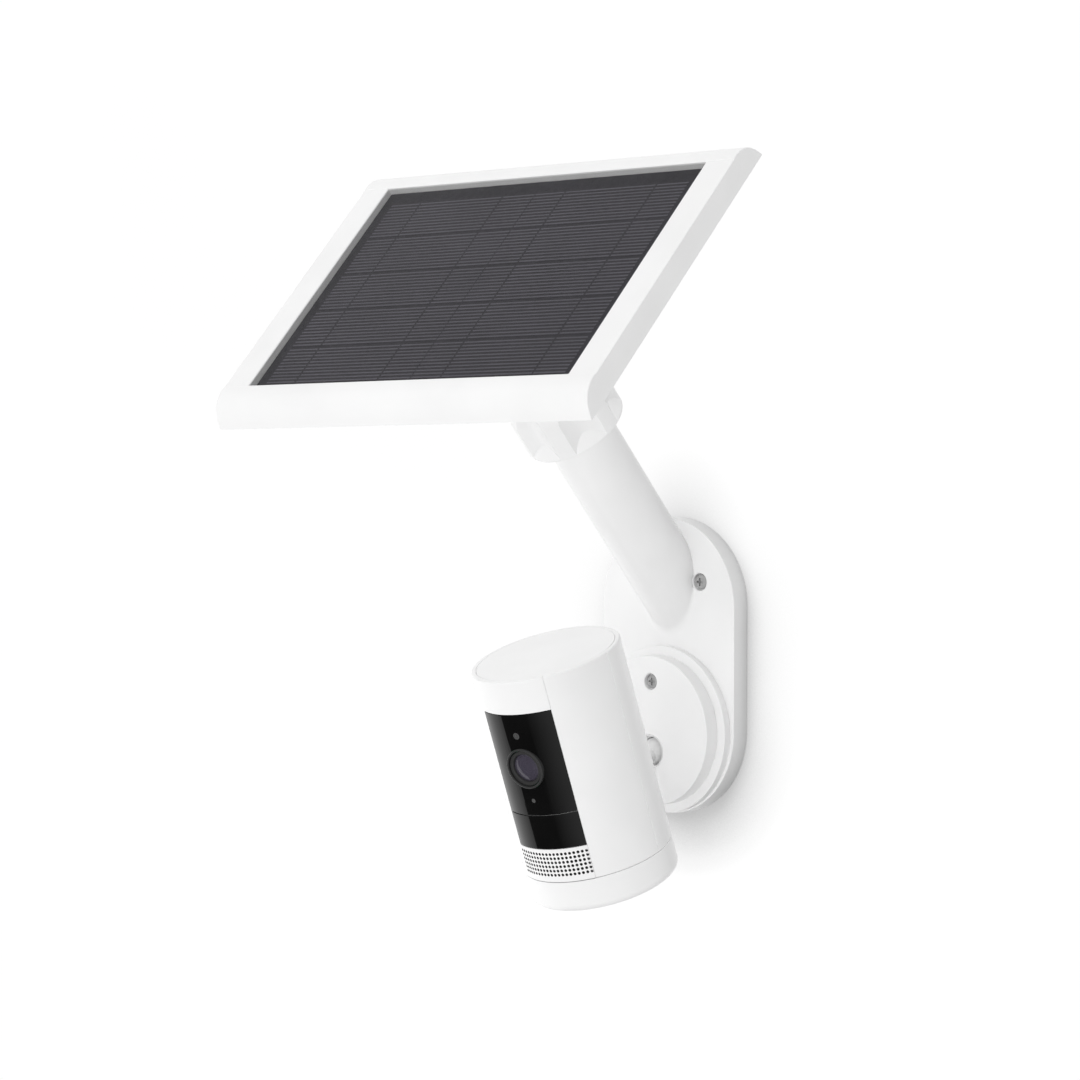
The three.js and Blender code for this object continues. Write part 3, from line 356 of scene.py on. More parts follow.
def rounded(corners, steps=5):
    """A closed flat outline from (x, y, radius) corners, each corner turned into an arc."""
    outline = []
    for i, (x, y, radius) in enumerate(corners):
        here = np.array([x, y], float)
        if radius == 0:
            outline.append(here)
            continue
        before = np.array(corners[i - 1][:2]) - here
        after = np.array(corners[(i + 1) % len(corners)][:2]) - here
        before /= np.linalg.norm(before)
        after /= np.linalg.norm(after)
        half = math.acos(np.clip(before @ after, -1, 1)) / 2
        inward = (before + after) / np.linalg.norm(before + after)
        centre = here + inward * radius / math.sin(half)
        start = here + before * radius / math.tan(half) - centre
        end = here + after * radius / math.tan(half) - centre
        first = math.atan2(start[1], start[0])
        sweep = math.atan2(end[1], end[0]) - first
        sweep = (sweep + math.pi) % (2 * math.pi) - math.pi
        for step in range(steps + 1):
            angle = first + sweep * step / steps
            outline.append(centre + radius * np.array([math.cos(angle), math.sin(angle)]))
    return np.array(outline)


def inset(outline, distance):
    """The outline moved inwards by a distance along its own normals."""
    ahead = np.roll(outline, -1, 0) - outline
    ahead /= np.linalg.norm(ahead, axis=1)[:, None]
    behind = np.roll(ahead, 1, 0)
    x, y = outline.T
    winding = np.sign(np.sum(x * np.roll(y, -1) - np.roll(x, -1) * y))
    normal = (ahead + behind) @ np.array([[0, 1], [-1, 0]]) * winding
    normal /= np.maximum(np.linalg.norm(normal, axis=1), 1e-9)[:, None]
    lean = np.abs(np.sum(ahead * behind, 1))
    miter = np.sqrt(2 / np.maximum(1 + lean, 1.0))
    return outline + normal * (distance * miter)[:, None]


def bar(outline, start, end, edge=0.3, steps=1, edge_steps=3, rule=None):
    """A solid of one flat outline from start to end along z, its end edges rounded."""
    angles = np.linspace(0, math.pi / 2, edge_steps + 1) if edge > 0 else np.array([math.pi / 2])
    rise = edge * (1 - np.cos(angles))
    shrink = edge * (1 - np.sin(angles))
    run = np.linspace(start + edge, end - edge, steps + 1)[1:-1]
    stations = list(zip(start + rise, shrink)) + [(s, 0.0) for s in run]
    stations += list(zip(end - rise[::-1], shrink[::-1]))
    rings = []
    for s, drawn_in in stations:
        ring = inset(outline, drawn_in) if drawn_in > 0 else outline
        rings.append(np.column_stack([ring, np.full(len(ring), s)]))
    shape = skin(rings)
    return cleaned(shape.bent(rule)) if rule else shape


def rectangle(low, high, corner):
    points = ((low[0], low[1]), (high[0], low[1]), (high[0], high[1]), (low[0], high[1]))
    return [(x, y, corner) for x, y in points]


def box(low, high, edge=0.0):
    return bar(rounded(rectangle(low, high, edge * 1.5)), low[2], high[2], edge)


def lathe(profile, sides=96):
    """A body of revolution about z from a closed outline of (radius, height) points."""
    rings = []
    for i in range(sides):
        angle = 2 * math.pi * i / sides
        turned = [(r * math.cos(angle), r * math.sin(angle), z) for r, z in profile]
        rings.append(turned)
    return skin(rings, loop=True)


def rod(radius, low, high, edge=0.0, sides=64):
    profile = [(0, low, 0), (radius, low, edge), (radius, high, edge), (0, high, 0)]
    return lathe(rounded(profile, 3), sides)


def arc(radius, centre, first, last, steps=16):
    """Corners along a circle about (0, centre), angles in radians from the equator."""
    angles = np.linspace(first, last, steps + 1)
    return [(radius * math.cos(a), centre + radius * math.sin(a), 0) for a in angles]


def round_side(points):
    """Bends (radius, height, arc length along the body's side) round the camera's axis."""
    radius, height, along = points.T
    angle = along / BODY_RADIUS
    return np.column_stack([radius * np.sin(angle), -radius * np.cos(angle), height])


def curved_wall(inner, outer, first, last, low, high, edge=0.25):
    """A piece of the camera's round side between two angles from the front, in degrees."""
    corners = [(inner, low, edge), (outer, low, edge), (outer, high, edge), (inner, high, edge)]
    return round_bar(rounded(corners, 3), first, last, edge)


def round_bar(outline, first, last, edge):
    start, end = math.radians(first) * BODY_RADIUS, math.radians(last) * BODY_RADIUS
    steps = max(6, round(abs(last - first) / 3))
    return bar(outline, start, end, edge, steps, rule=round_side)


def carve(shape, tools, operation="DIFFERENCE"):
    """Cuts the tools out of the shape, or joins or intersects them with it."""
    host = helper("host", shape)
    guests = []
    for tool in tools:
        guest = helper("guest", tool)
        modifier = host.modifiers.new("carve", "BOOLEAN")
        modifier.operation = operation
        modifier.solver = "MANIFOLD"
        modifier.object = guest
        guests.append(guest)
    graph = bpy.context.evaluated_depsgraph_get()
    result = bpy.data.meshes.new_from_object(host.evaluated_get(graph))
    points = [tuple(vertex.co) for vertex in result.vertices]
    faces = [tuple(face.vertices) for face in result.polygons]
    bpy.data.meshes.remove(result)
    for temporary in [host, *guests]:
        bpy.data.meshes.remove(temporary.data)
    return Shape(points, faces)


def helper(name, shape):
    mesh = bpy.data.meshes.new(name)
    mesh.from_pydata(shape.points.tolist(), [], shape.faces)
    made = bpy.data.objects.new(name, mesh)
    scene.collection.objects.link(made)
    return made


# --- Materials --------------------------------------------------------------------------------


def add_node(tree, kind, inputs, output=0, **settings):
    """Adds a shader node, links or sets its inputs by name, and gives back one output."""
    made = tree.nodes.new("ShaderNode" + kind)
    for key, value in settings.items():
        setattr(made, key, value)
    for key, value in inputs.items():
        if isinstance(value, bpy.types.NodeSocket):
            tree.links.new(value, made.inputs[key])
        else:
            made.inputs[key].default_value = value
    return made.outputs[output]


def add_ramp(tree, value, near, far, low, high):
    """A value that goes from low to high as its input goes from near to far."""
    limits = {"From Min": near, "From Max": far, "To Min": low, "To Max": high}
    return add_node(tree, "MapRange", {"Value": value, **limits})


class Look:
    """A node material while it is being wired up."""

    def __init__(self, name):
        self.material = bpy.data.materials.new(name)
        self.material.use_nodes = True
        self.tree = self.material.node_tree
        self.tree.nodes.clear()
        self.place = self.add("TexCoord", {}, output="Object")

    def add(self, kind, inputs, output=0, **settings):
        return add_node(self.tree, kind, inputs, output, **settings)

    def noise(self, size, detail=3.0):
        """Noise whose features are about size millimetres across."""
        inputs = {"Vector": self.place, "Scale": 1 / (size * MM), "Detail": detail}
        return self.add("TexNoise", inputs)

    def ramp(self, value, near, far, low, high):
        return add_ramp(self.tree, value, near, far, low, high)

    def between(self, noise, low, high):
        """Noise, which mostly lies between 0.3 and 0.7, stretched to run from low to high."""
        return self.ramp(noise, 0.3, 0.7, low, high)

    def mix_colour(self, share, first, second):
        made = self.tree.nodes.new("ShaderNodeMix")
        made.data_type = "RGBA"
        self.tree.links.new(share, made.inputs["Factor"])
        for socket, value in (("A", first), ("B", second)):
            colours = [s for s in made.inputs if s.name == socket and s.type == "RGBA"]
            if isinstance(value, bpy.types.NodeSocket):
                self.tree.links.new(value, colours[0])
            else:
                colours[0].default_value = value
        return next(s for s in made.outputs if s.type == "RGBA")

    def bump(self, height, strength, distance):
        inputs = {"Height": height, "Strength": strength, "Distance": distance * MM}
        return self.add("Bump", inputs)

    def finish(self, surface):
        output = self.tree.nodes.new("ShaderNodeOutputMaterial")
        self.tree.links.new(surface, output.inputs["Surface"])
        return self.material


def grey(level, warmth=0.0):
    return (level * (1 + warmth), level, level * (1 - warmth), 1)


def moulded(name, first, second, rough, grain, bump, blotch=25.0, metal=0.0):
    """Plastic, rubber or metal: blotchy tone, uneven gloss and a fine grain."""
    look = Look(name)
    fine = look.noise(grain)
    tone = look.between(look.noise(blotch, 2.0), 0, 1)
    inputs = {
        "Base Color": look.mix_colour(tone, first, second),
        "Roughness": look.between(look.noise(grain * 6), rough[0], rough[1]),
        "Normal": look.bump(fine, bump, 0.05),
        "Metallic": metal,
    }
    return look.finish(look.add("BsdfPrincipled", inputs))


def see_through(name, tint, rough, mirror, haze=0.0):
    """Thin clear glass or acrylic: what lies behind it, with a reflection on top."""
    look = Look(name)
    clear = look.add("BsdfTransparent", {"Color": tint})
    coat = look.add("BsdfDiffuse", {"Color": (0.11, 0.10, 0.13, 1)})
    clear = look.add("MixShader", {0: haze, 1: clear, 2: coat})
    bump = look.bump(look.noise(9.0, 1.0), 0.015, 0.02)
    roughness = look.between(look.noise(1.2), rough[0], rough[1])
    shine = look.add("BsdfGlossy", {"Roughness": roughness, "Normal": bump})
    facing = look.add("Fresnel", {"IOR": mirror, "Normal": bump})
    inside = look.add("NewGeometry", {}, output="Backfacing")
    share = look.add("Mix", {"Factor": inside, "A": facing, "B": 0.0})
    surface = look.add("MixShader", {0: share, 1: clear, 2: shine})
    return look.finish(surface)


def cell_look():
    """Dark silicon: slightly violet, each cell its own shade."""
    look = Look("solar_cells")
    tone = look.between(look.noise(18.0, 4.0), 0, 1)
    inputs = {
        "Base Color": look.mix_colour(tone, (0.026, 0.024, 0.031, 1), (0.033, 0.031, 0.040, 1)),
        "Roughness": look.between(look.noise(2.0), 0.32, 0.45),
        "Normal": look.bump(look.noise(0.4), 0.2, 0.03),
    }
    return look.finish(look.add("BsdfPrincipled", inputs))


# First and second tone, roughness, grain in mm, bump; then blotch in mm and share of metal
MOULDED = {
    "white_plastic": (grey(0.80), grey(0.83), (0.34, 0.42), 0.45, 0.05),
    "white_gloss": (grey(0.80), grey(0.83), (0.28, 0.34), 0.6, 0.02),
    "inner_white": (grey(0.66), grey(0.72), (0.42, 0.55), 0.4, 0.2),
    "friction_plastic": (grey(0.016), grey(0.024), (0.4, 0.55), 0.5, 0.2),
    "window_black": (grey(0.003), grey(0.005), (0.03, 0.06), 3.0, 0.02),
    "lens_black": (grey(0.030), grey(0.040), (0.28, 0.38), 0.5, 0.1),
    "screw_steel": (grey(0.42), grey(0.50), (0.30, 0.45), 0.3, 0.25, 6.0, 0.4),
    "black_rubber": (grey(0.010), grey(0.018), (0.6, 0.8), 0.35, 0.5),
    "circuit_board": ((0.012, 0.09, 0.04, 1), (0.018, 0.13, 0.06, 1), (0.3, 0.5), 0.5, 0.3, 4.0),
    "dark_plastic": (grey(0.020), grey(0.030), (0.35, 0.5), 0.5, 0.25),
    "diffuser": (grey(0.52), grey(0.60), (0.4, 0.5), 0.5, 0.1),
    "contact_metal": ((0.8, 0.56, 0.2, 1), (0.9, 0.66, 0.28, 1), (0.2, 0.3), 0.3, 0.1, 5.0, 1.0),
    "cell_fingers": ((0.100, 0.095, 0.113, 1), (0.115, 0.109, 0.130, 1), (0.35, 0.5), 0.4, 0.1),
    "dot": (grey(0.06), grey(0.085), (0.3, 0.4), 0.5, 0.1),
}
LOOKS = {name: moulded(name, *settings) for name, settings in MOULDED.items()}
LOOKS["lens_glass"] = see_through("lens_glass", (0.62, 0.58, 0.70, 1), (0.01, 0.03), 1.7, 0.35)
LOOKS["panel_glass"] = see_through("panel_glass", (0.90, 0.90, 0.90, 1), (0.06, 0.10), 1.35)
LOOKS["solar_cells"] = cell_look()


def piece(name, shape, place, *stands_for, smooth=35.0, extra_look=None, extra_from=None):
    """Shows a shape in place of CAD nodes, riding on the body the first one belongs to."""
    shape = cleaned(shape)
    mesh = bpy.data.meshes.new(name)
    mesh.from_pydata(place.world(shape.points).tolist(), [], shape.faces)
    mesh.shade_smooth()
    mesh.set_sharp_from_angle(angle=math.radians(smooth))
    slot = SLOTS[stands_for[0]]
    mesh.materials.append(LOOKS[slot])
    if extra_look:
        mesh.materials.append(extra_look)
        for face in mesh.polygons:
            if extra_from(place.local(np.array(face.center))):
                face.material_index = 1
    made = bpy.data.objects.new(name, mesh)
    scene.collection.objects.link(made)
    even_out = made.modifiers.new("flat faces stay flat", "WEIGHTED_NORMAL")
    even_out.keep_sharp = True
    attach(made, BODY_OF[stands_for[0]])
    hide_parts(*stands_for)
    return made


def dressed(node, width=0.25):
    """A CAD node shown as it is, with softened edges and its slot's material."""
    shown = frame["nodes"][node]
    shown.data.materials.clear()
    shown.data.materials.append(LOOKS[SLOTS[node]])
    bevel = shown.modifiers.new("soft edges", "BEVEL")
    bevel.width = width * MM
    bevel.segments = 2
    bevel.limit_method = "ANGLE"
    bevel.angle_limit = math.radians(35)
    bevel.harden_normals = False
    shown.data.set_sharp_from_angle(angle=math.radians(30))


# --- Screws -----------------------------------------------------------------------------------


WALL_SCREWS = [f"wall_screw_{row}_{side}" for row in ("upper", "lower")
               for side in ("left", "right")]
BASE_SCREWS = ["base_screw_upper", "base_screw_lower"]
HUB_SCREWS = [f"hub_screw_{i + 1}" for i in range(3)]
COVER_SCREWS = [f"cover_screw_{i + 1}" for i in range(4)]


def thread(radius, pitch, low, high, sides=20):
    """A threaded shank with a tapered point at its low end."""
    depth = pitch * 0.22
    angles = np.linspace(0, 2 * math.pi, sides, endpoint=False)
    rings = []
    for z in np.arange(low, high, pitch / 6):
        wave = np.abs(((z / pitch - angles / (2 * math.pi)) % 1.0) - 0.5) * 2
        taper = min(1.0, 0.15 + (z - low) / (2.4 * radius))
        reach = (radius - depth * wave) * taper
        ring = [reach * np.cos(angles), reach * np.sin(angles), np.full(sides, z)]
        rings.append(np.column_stack(ring))
    return skin(rings)


def screw(size, length):
    """A cross-head screw with its head's top at height 0 and its point downwards."""
    head, height, shank, pitch = size
    dome = [(0, -height, 0), (head, -height, 0.12), (head, -height * 0.5, 0.3)]
    dome += [(head * 0.72, -0.03, 0.8), (0, 0, 0)]
    top = lathe(rounded(dome, 5), 64)
    reach, slot = head * 0.55, head * 0.13
    arm = box((-reach, -slot, -height * 0.62), (reach, slot, 1))
    cross = carve(arm, [arm.rotated("Z", 90), rod(slot * 1.9, -height * 0.8, 1, sides=24)], "UNION")
    top = carve(top, [cross])
    return top + thread(shank, pitch, -length, -height + 0.3)


def put_screws(nodes, size, place, length=None):
    """Screws of the CAD's own length stand head up; those with a length given hang head down."""
    low, high = heights(nodes[0], place)
    shape = screw(size, length or high - low)
    for node in nodes:
        low, high = heights(node, place)
        x, y = flat_centre(node, place)
        turned = shape.rotated("X", 180) if length else shape
        piece(node + "_look", turned.moved(x, y, low if length else high), place, node)


def screws():
    put_screws(WALL_SCREWS, WALL_SCREW, WALL)
    put_screws(BASE_SCREWS, BASE_SCREW, WALL)
    put_screws(HUB_SCREWS, SMALL_SCREW, PANEL, HUB_SCREW_LENGTH)
    put_screws(COVER_SCREWS, SMALL_SCREW, PANEL, COVER_SCREW_LENGTH)


# --- Wall plate, arm and round base -----------------------------------------------------------


def stadium(radius, half_height, steps=48):
    angles = np.linspace(0, math.pi, steps + 1)
    upper = [(radius * math.cos(a), half_height - radius + radius * math.sin(a)) for a in angles]
    return np.array(upper + [(-x, -y) for x, y in upper])


def arm_frame(depth):
    """The arm's foot and its own directions across and along, in the wall's local frame."""
    foot = np.array([0, ARM_FOOT, depth])
    across = np.array([0, math.sin(ARM_LEAN), -math.cos(ARM_LEAN)])
    along = np.array([0, math.cos(ARM_LEAN), math.sin(ARM_LEAN)])
    return foot, across, along


def arm_body(depth, sides=128):
    """The tube's outside, flowing into the plate below and meeting it crisply above."""
    foot, across, along = arm_frame(depth)
    columns = []
    for i in range(sides):
        angle = 2 * math.pi * i / sides
        c, s = math.cos(angle), math.sin(angle)
        line = foot + ARM_RADIUS * (c * np.array([1, 0, 0]) + s * across)
        meet = line + along * ARM_RADIUS * s / math.tan(ARM_LEAN)
        away = np.array([c, s * math.sin(ARM_LEAN), 0])
        away /= np.linalg.norm(away)
        reach = FOOT_BLEND * max(0.0, -s) ** 0.7
        upper, lower = meet + along * reach, meet + away * reach
        column = [lower - (0, 0, 1.5)]
        for u in np.linspace(1, 0, 13):
            column.append((1 - u) ** 2 * upper + 2 * u * (1 - u) * meet + u * u * lower)
        top = line + along * ARM_LENGTH
        column.extend([upper + (top - upper) * share for share in (0.5, 1.0)])
        columns.append(column)
    return skin([[column[k] for column in columns] for k in range(len(columns[0]))])


def along_arm(shape, depth):
    foot, across, along = arm_frame(depth)
    axes = np.array([[1, 0, 0], across, along])
    return Shape(foot + shape.points @ axes, shape.faces)


def screw_places(nodes, place=WALL):
    return [flat_centre(node, place) for node in nodes]


def head_recess(face, deep, floor_radius, radius, below, mouth):
    """Room for a screw's head in a face at a given height, widened at the mouth."""
    corners = [(0, face - deep, 0), (floor_radius, face - deep, 0.3), (radius, face - below, 0)]
    corners += [(mouth, face + 0.05, 0), (mouth, face + 1, 0), (0, face + 1, 0)]
    return lathe(rounded(corners, 3), 64)


def rear_pockets(half_width, depth):
    floor = depth - PLATE_SKIN
    hollow = bar(stadium(half_width - PLATE_WALL, HALF_PLATE - PLATE_WALL), -1, floor, 0.0)
    rib = box((-half_width, RIB[0], -2), (half_width, RIB[1], depth))
    rib = carve(rib, [box((LEAD_CHANNEL[0], RIB[0] - 1, -3), (LEAD_CHANNEL[1], RIB[1] + 1, floor))])
    posts = [rod(WALL_POST, -2, depth).moved(x, y) for x, y in screw_places(WALL_SCREWS)]
    anchors = [rod(BASE_POST, -2, depth).moved(x, y) for x, y in screw_places(BASE_SCREWS)]
    return carve(hollow, [rib, *posts, *anchors])


def wall_plate():
    low, high = extent("wall_plate", WALL)
    half_width = high[0]
    depth = extent("adapter_ring", WALL)[0][2] - SEAM
    plate = bar(stadium(half_width, -low[1]), 0, depth, 0.25)
    body = carve(plate, [arm_body(depth)], "UNION")
    tools = [
        along_arm(rod(ARM_BORE, -30, ARM_LENGTH + 1), depth),
        along_arm(rod(CUP_BORE, CUP_SEAT, ARM_LENGTH + 1), depth),
        rear_pockets(half_width, depth),
    ]
    for x, y in screw_places(WALL_SCREWS):
        tools.append(head_recess(depth, *WALL_RECESS).moved(x, y))
        tools.append(rod(WALL_SCREW_HOLE, -1, depth + 0.5, sides=32).moved(x, y))
    for x, y in screw_places(BASE_SCREWS):
        tools.append(rod(BASE_PILOT_HOLE, 1.5, depth + 1, sides=32).moved(x, y))
    tools.append(rod(LEAD_HOLE, 0, depth + 1).moved(*flat_centre("ball_retainer", WALL)))
    piece("plate_and_arm", carve(body, tools), WALL, "wall_plate", smooth=28)


def socket_cup():
    low, high = extent("socket_cup", ARM)
    edge = high[0]
    rim = math.asin(high[2] / PANEL_SOCKET)
    bore = -math.acos(SOCKET_BORE / PANEL_SOCKET)
    corners = [(SOCKET_BORE, low[2], 0), (edge, low[2], 0.3), (edge, high[2], 0.2)]
    corners += arc(PANEL_SOCKET, 0, rim, bore)
    piece("cup", lathe(rounded(corners)), ARM, "socket_cup")


def round_base():
    ring_low, ring_high = extent("adapter_ring", WALL)
    x, y = flat_centre("adapter_ring", WALL)
    ball_y = flat_centre("ball_retainer", WALL)[1] - y
    screws_at = [place[1] - y for place in screw_places(BASE_SCREWS)]
    low, high = ring_low[2], ring_high[2]
    ring = rod(ring_high[0], low, high, 0.25, 160)
    hole = rod(BASE_SCREW_HOLE, low - 1, high + 1, sides=32)
    tools = [hole.moved(0, at) for at in screws_at]
    tools.append(rod(RETAINER_RADIUS + 0.4, low - 1, high + 1).moved(0, ball_y))
    piece("ring", carve(ring, tools).moved(x, y), WALL, "adapter_ring")

    low, high = heights("mount_base", WALL)
    radius = extent("mount_base", WALL)[1][0]
    inside = high - BASE_SKIN
    wall = radius - BASE_WALL
    profile = [(0, inside, 0), (wall, inside, 0.6), (wall, low, 0)]
    profile += [(radius, low, 0.25), (radius, high, 0.35), (0, high, 0)]
    shell = lathe(rounded(profile), 160)
    boss = rod(RETAINER_RADIUS + 1.2, SOCKET_DEPTH - 1, inside + 1).moved(0, ball_y)
    posts = [rod(5, low, inside + 1).moved(0, at) for at in screws_at]
    body = carve(shell, [boss, *posts], "UNION")
    mouth = math.asin((high - SOCKET_DEPTH) / SOCKET_RADIUS)
    hollow = [(0, low - 1, 0), (SOCKET_RADIUS, low - 1, 0)]
    hollow += arc(SOCKET_RADIUS, SOCKET_DEPTH, 0, mouth * 0.9)
    hollow += [(SOCKET_MOUTH - 0.2, high - 0.9, 0), (SOCKET_MOUTH + 0.55, high + 0.05, 0)]
    hollow += [(SOCKET_MOUTH + 0.55, high + 1, 0), (0, high + 1, 0)]
    cuts = [rod(RETAINER_RADIUS + SEAM, 0, SOCKET_DEPTH - 1).moved(0, ball_y)]
    cuts.append(lathe(rounded(hollow)).moved(0, ball_y))
    for at in screws_at:
        cuts.append(rod(BASE_SCREW_HOLE, low - 1, high + 1, sides=32).moved(0, at))
        cuts.append(head_recess(high, *BASE_RECESS).moved(0, at))
    piece("base_disc", carve(body, cuts).moved(x, y), WALL, "mount_base")


def retainer():
    low, high = heights("ball_retainer", WALL)
    rim = math.asin((high - SOCKET_DEPTH) / SOCKET_RADIUS)
    bore = -math.acos(SOCKET_BORE / SOCKET_RADIUS)
    corners = [(SOCKET_BORE, low, 0.2), (RETAINER_RADIUS, low, 0.3), (RETAINER_RADIUS, high, 0.2)]
    corners += arc(SOCKET_RADIUS, SOCKET_DEPTH, rim, bore)
    shape = lathe(rounded(corners)).moved(*flat_centre("ball_retainer", WALL))
    piece("ball_plug", shape, WALL, "ball_retainer")


# --- Collar and ball joints -------------------------------------------------------------------


def collar_outline():
    """Six lobes with a scooped finger grip between each two."""
    pitch = 2 * math.pi / COLLAR_LOBES
    scallop = pitch - LOBE_ANGLE
    outline = []
    for lobe in range(COLLAR_LOBES):
        centre = FIRST_LOBE + lobe * pitch
        for share in np.linspace(-0.5, 0.5, 7):
            outline.append((COLLAR_RADIUS, centre + LOBE_ANGLE * share))
        for across in np.linspace(0, 1, 26)[1:-1]:
            scoop = SCALLOP_DEPTH * math.sin(math.pi * across) ** 0.8
            outline.append((COLLAR_RADIUS - scoop, centre + LOBE_ANGLE / 2 + scallop * across))
    return np.array([(r * math.cos(a), r * math.sin(a)) for r, a in outline])


def locking_collar():
    low, high = heights("locking_collar", ARM)
    shoulder = low + COLLAR_STRAIGHT
    grip = bar(collar_outline(), low, high + 1, 0.5)
    rim, floor = COLLAR_RADIUS, COLLAR_RADIUS - SCALLOP_DEPTH
    skirt = [(0, low, 0), (rim, low, 0.4), (rim, low + 0.7, 1.5), (floor, low + GRIP_RUN_OUT, 4)]
    skirt += [(floor - 1, low + GRIP_RUN_OUT + 2, 0), (0, low + GRIP_RUN_OUT + 2, 0)]
    grip = carve(grip, [lathe(rounded(skirt, 6), 192)], "UNION")
    dome = [(0, low - 1, 0), (rim + 1, low - 1, 0), (rim + 1, shoulder - 2, 0)]
    dome += [(rim + 0.1, shoulder, 4), (rim - 1.2, shoulder + 4.4, 6)]
    dome += [(rim - 4.4, high - 1.4, 4), (rim - 7.0, high, 0.5), (0, high, 0)]
    bore = COLLAR_BORE
    seat = ARM_LENGTH + 0.7 - BALL_ALONG_ARM
    entry, mouth = math.asin(seat / PANEL_SOCKET), math.asin(high / PANEL_SOCKET)
    inside = [(0, low - 1, 0), (bore + 0.6, low - 1, 0), (bore + 0.6, low, 0), (bore, low + 0.6, 0)]
    inside += [(bore, seat, 0)] + arc(PANEL_SOCKET, 0, entry, mouth * 0.96)
    mouth_radius = PANEL_SOCKET * math.cos(mouth)
    inside += [(mouth_radius + 0.5, high + 0.05, 0), (mouth_radius + 0.5, high + 2, 0)]
    inside += [(0, high + 2, 0)]
    body = carve(grip, [lathe(rounded(dome, 8), 192)], "INTERSECT")
    piece("collar", carve(body, [lathe(rounded(inside), 128)]), ARM, "locking_collar", smooth=24)


def liner(name, node, size, place, sides):
    """A thin ball shell: its radii and the angles, in degrees, between which it spans."""
    inner, outer, first, last = size
    corners = arc(outer, 0, math.radians(first), math.radians(last))
    corners += arc(inner, 0, math.radians(last), math.radians(first))
    piece(name, lathe(rounded(corners), sides), place, node)


def panel_stud():
    low, high = heights("panel_ball_stud", STUD)
    first = math.asin(STUD_BORE / PANEL_BALL) - math.pi / 2 + 0.28
    last = math.acos(STUD_NECK / PANEL_BALL)
    corners = [(STUD_BORE, high, 0), (STUD_BORE, -7, 0), (STUD_BORE + 2, low, 0.3)]
    corners += arc(PANEL_BALL, 0, first, last - 0.02, 28)
    corners += [(STUD_NECK, PANEL_BALL * math.sin(last) + 0.3, 0.1)]
    corners += [(STUD_NECK, STUD_SHOULDER - 3, 1.5), (STUD_NECK + 2.5, STUD_SHOULDER, 0.3)]
    corners += [(STUD_SPIGOT, STUD_SHOULDER, 0), (STUD_SPIGOT, high, 0.3)]
    piece("panel_ball", lathe(rounded(corners), 96), STUD, "panel_ball_stud")


def camera_stud():
    low, high = heights("camera_ball_stud", STEM)
    surface = extent("rear_shell", CAMERA)[1][1]
    face = math.dist(CAMERA.origin, AT_BALL.origin)
    reach = math.sqrt(face**2 - LID_HIGH[2] ** 2) - surface
    last = math.acos(STEM_NECK / CAMERA_BALL) - 0.1
    corners = [(0, low, 0)] + arc(CAMERA_BALL, 0, -math.pi / 2 + 0.05, last, 24)
    corners += [(STEM_NECK, 6.2, 0.8), (STEM_NECK, 11, 3), (6, reach - 3.4, 1.5)]
    corners += [(7, reach - 1, 0.3), (7, reach - 0.4, 0.2), (3.5, reach - 0.4, 0)]
    corners += [(3.5, high, 0.2), (0, high, 0)]
    piece("camera_ball", lathe(rounded(corners), 96), STEM, "camera_ball_stud")


def panel_hub():
    low, high = heights("panel_hub", PANEL)
    flange = HUB_FLANGE
    profile = [(HUB_BORE, low, 0), (11, low, 0.8), (12.5, low + 1.8, 1.2), (14.5, flange - 3, 3)]
    profile += [(17.5, flange, 1.5), (HUB_RADIUS, flange, 0.8), (HUB_RADIUS, high, 0.2)]
    profile += [(9, high, 0), (9, low + 4, 0.4), (HUB_BORE, low + 4, 0)]
    tools = []
    for x, y in screw_places(HUB_SCREWS, PANEL):
        tools.append(rod(SMALL_SCREW_HOLE, 40, high + 1, sides=32).moved(x, y))
        tools.append(rod(SMALL_HEAD_HOLE, 40, flange + 1.4, sides=48).moved(x, y))
    piece("hub", carve(lathe(rounded(profile), 128), tools), PANEL, "panel_hub")
    low, high = heights("stud_nut", PANEL)
    turns = np.arange(6) * math.pi / 3
    hexagon = rounded([(NUT_RADIUS * math.cos(a), NUT_RADIUS * math.sin(a), 0.4) for a in turns])
    nut = carve(bar(hexagon, low, high, 0.4), [rod(HUB_BORE, low - 1, high + 1)])
    piece("nut", nut, PANEL, "stud_nut")


# --- Solar panel ------------------------------------------------------------------------------


TOP = PANEL.moved(*flat_centre("panel_frame", PANEL), heights("panel_frame", PANEL)[1])


def slab(width, depth, high, low, edge=0.0, corner=0.0):
    """A centred block, its heights measured down from the panel's top."""
    x, y = width / 2, depth / 2
    return bar(rounded(rectangle((-x, -y), (x, y), corner)), -low, -high, edge)


def quadratic(start, control, end, steps):
    start, control, end = (np.array(point, float) for point in (start, control, end))
    shares = np.linspace(0, 1, steps + 1)[:, None]
    return (1 - shares) ** 2 * start + 2 * shares * (1 - shares) * control + shares**2 * end


def panel_profile(half_depth, thick):
    """Flat top, a fine step at each crease, rounded long edges and a flat underside."""
    nose = quadratic((PANEL_CREASE + 0.35, NOSE_STEP), PANEL_NOSE, (half_depth, -thick), 18)
    front = [(PANEL_CREASE, 0.0)] + nose[:-1].tolist()
    front += [(half_depth, -thick + 0.35), (half_depth - 0.35, -thick)]
    back = [(-y, z) for y, z in reversed(front)]
    return np.array(back + front)


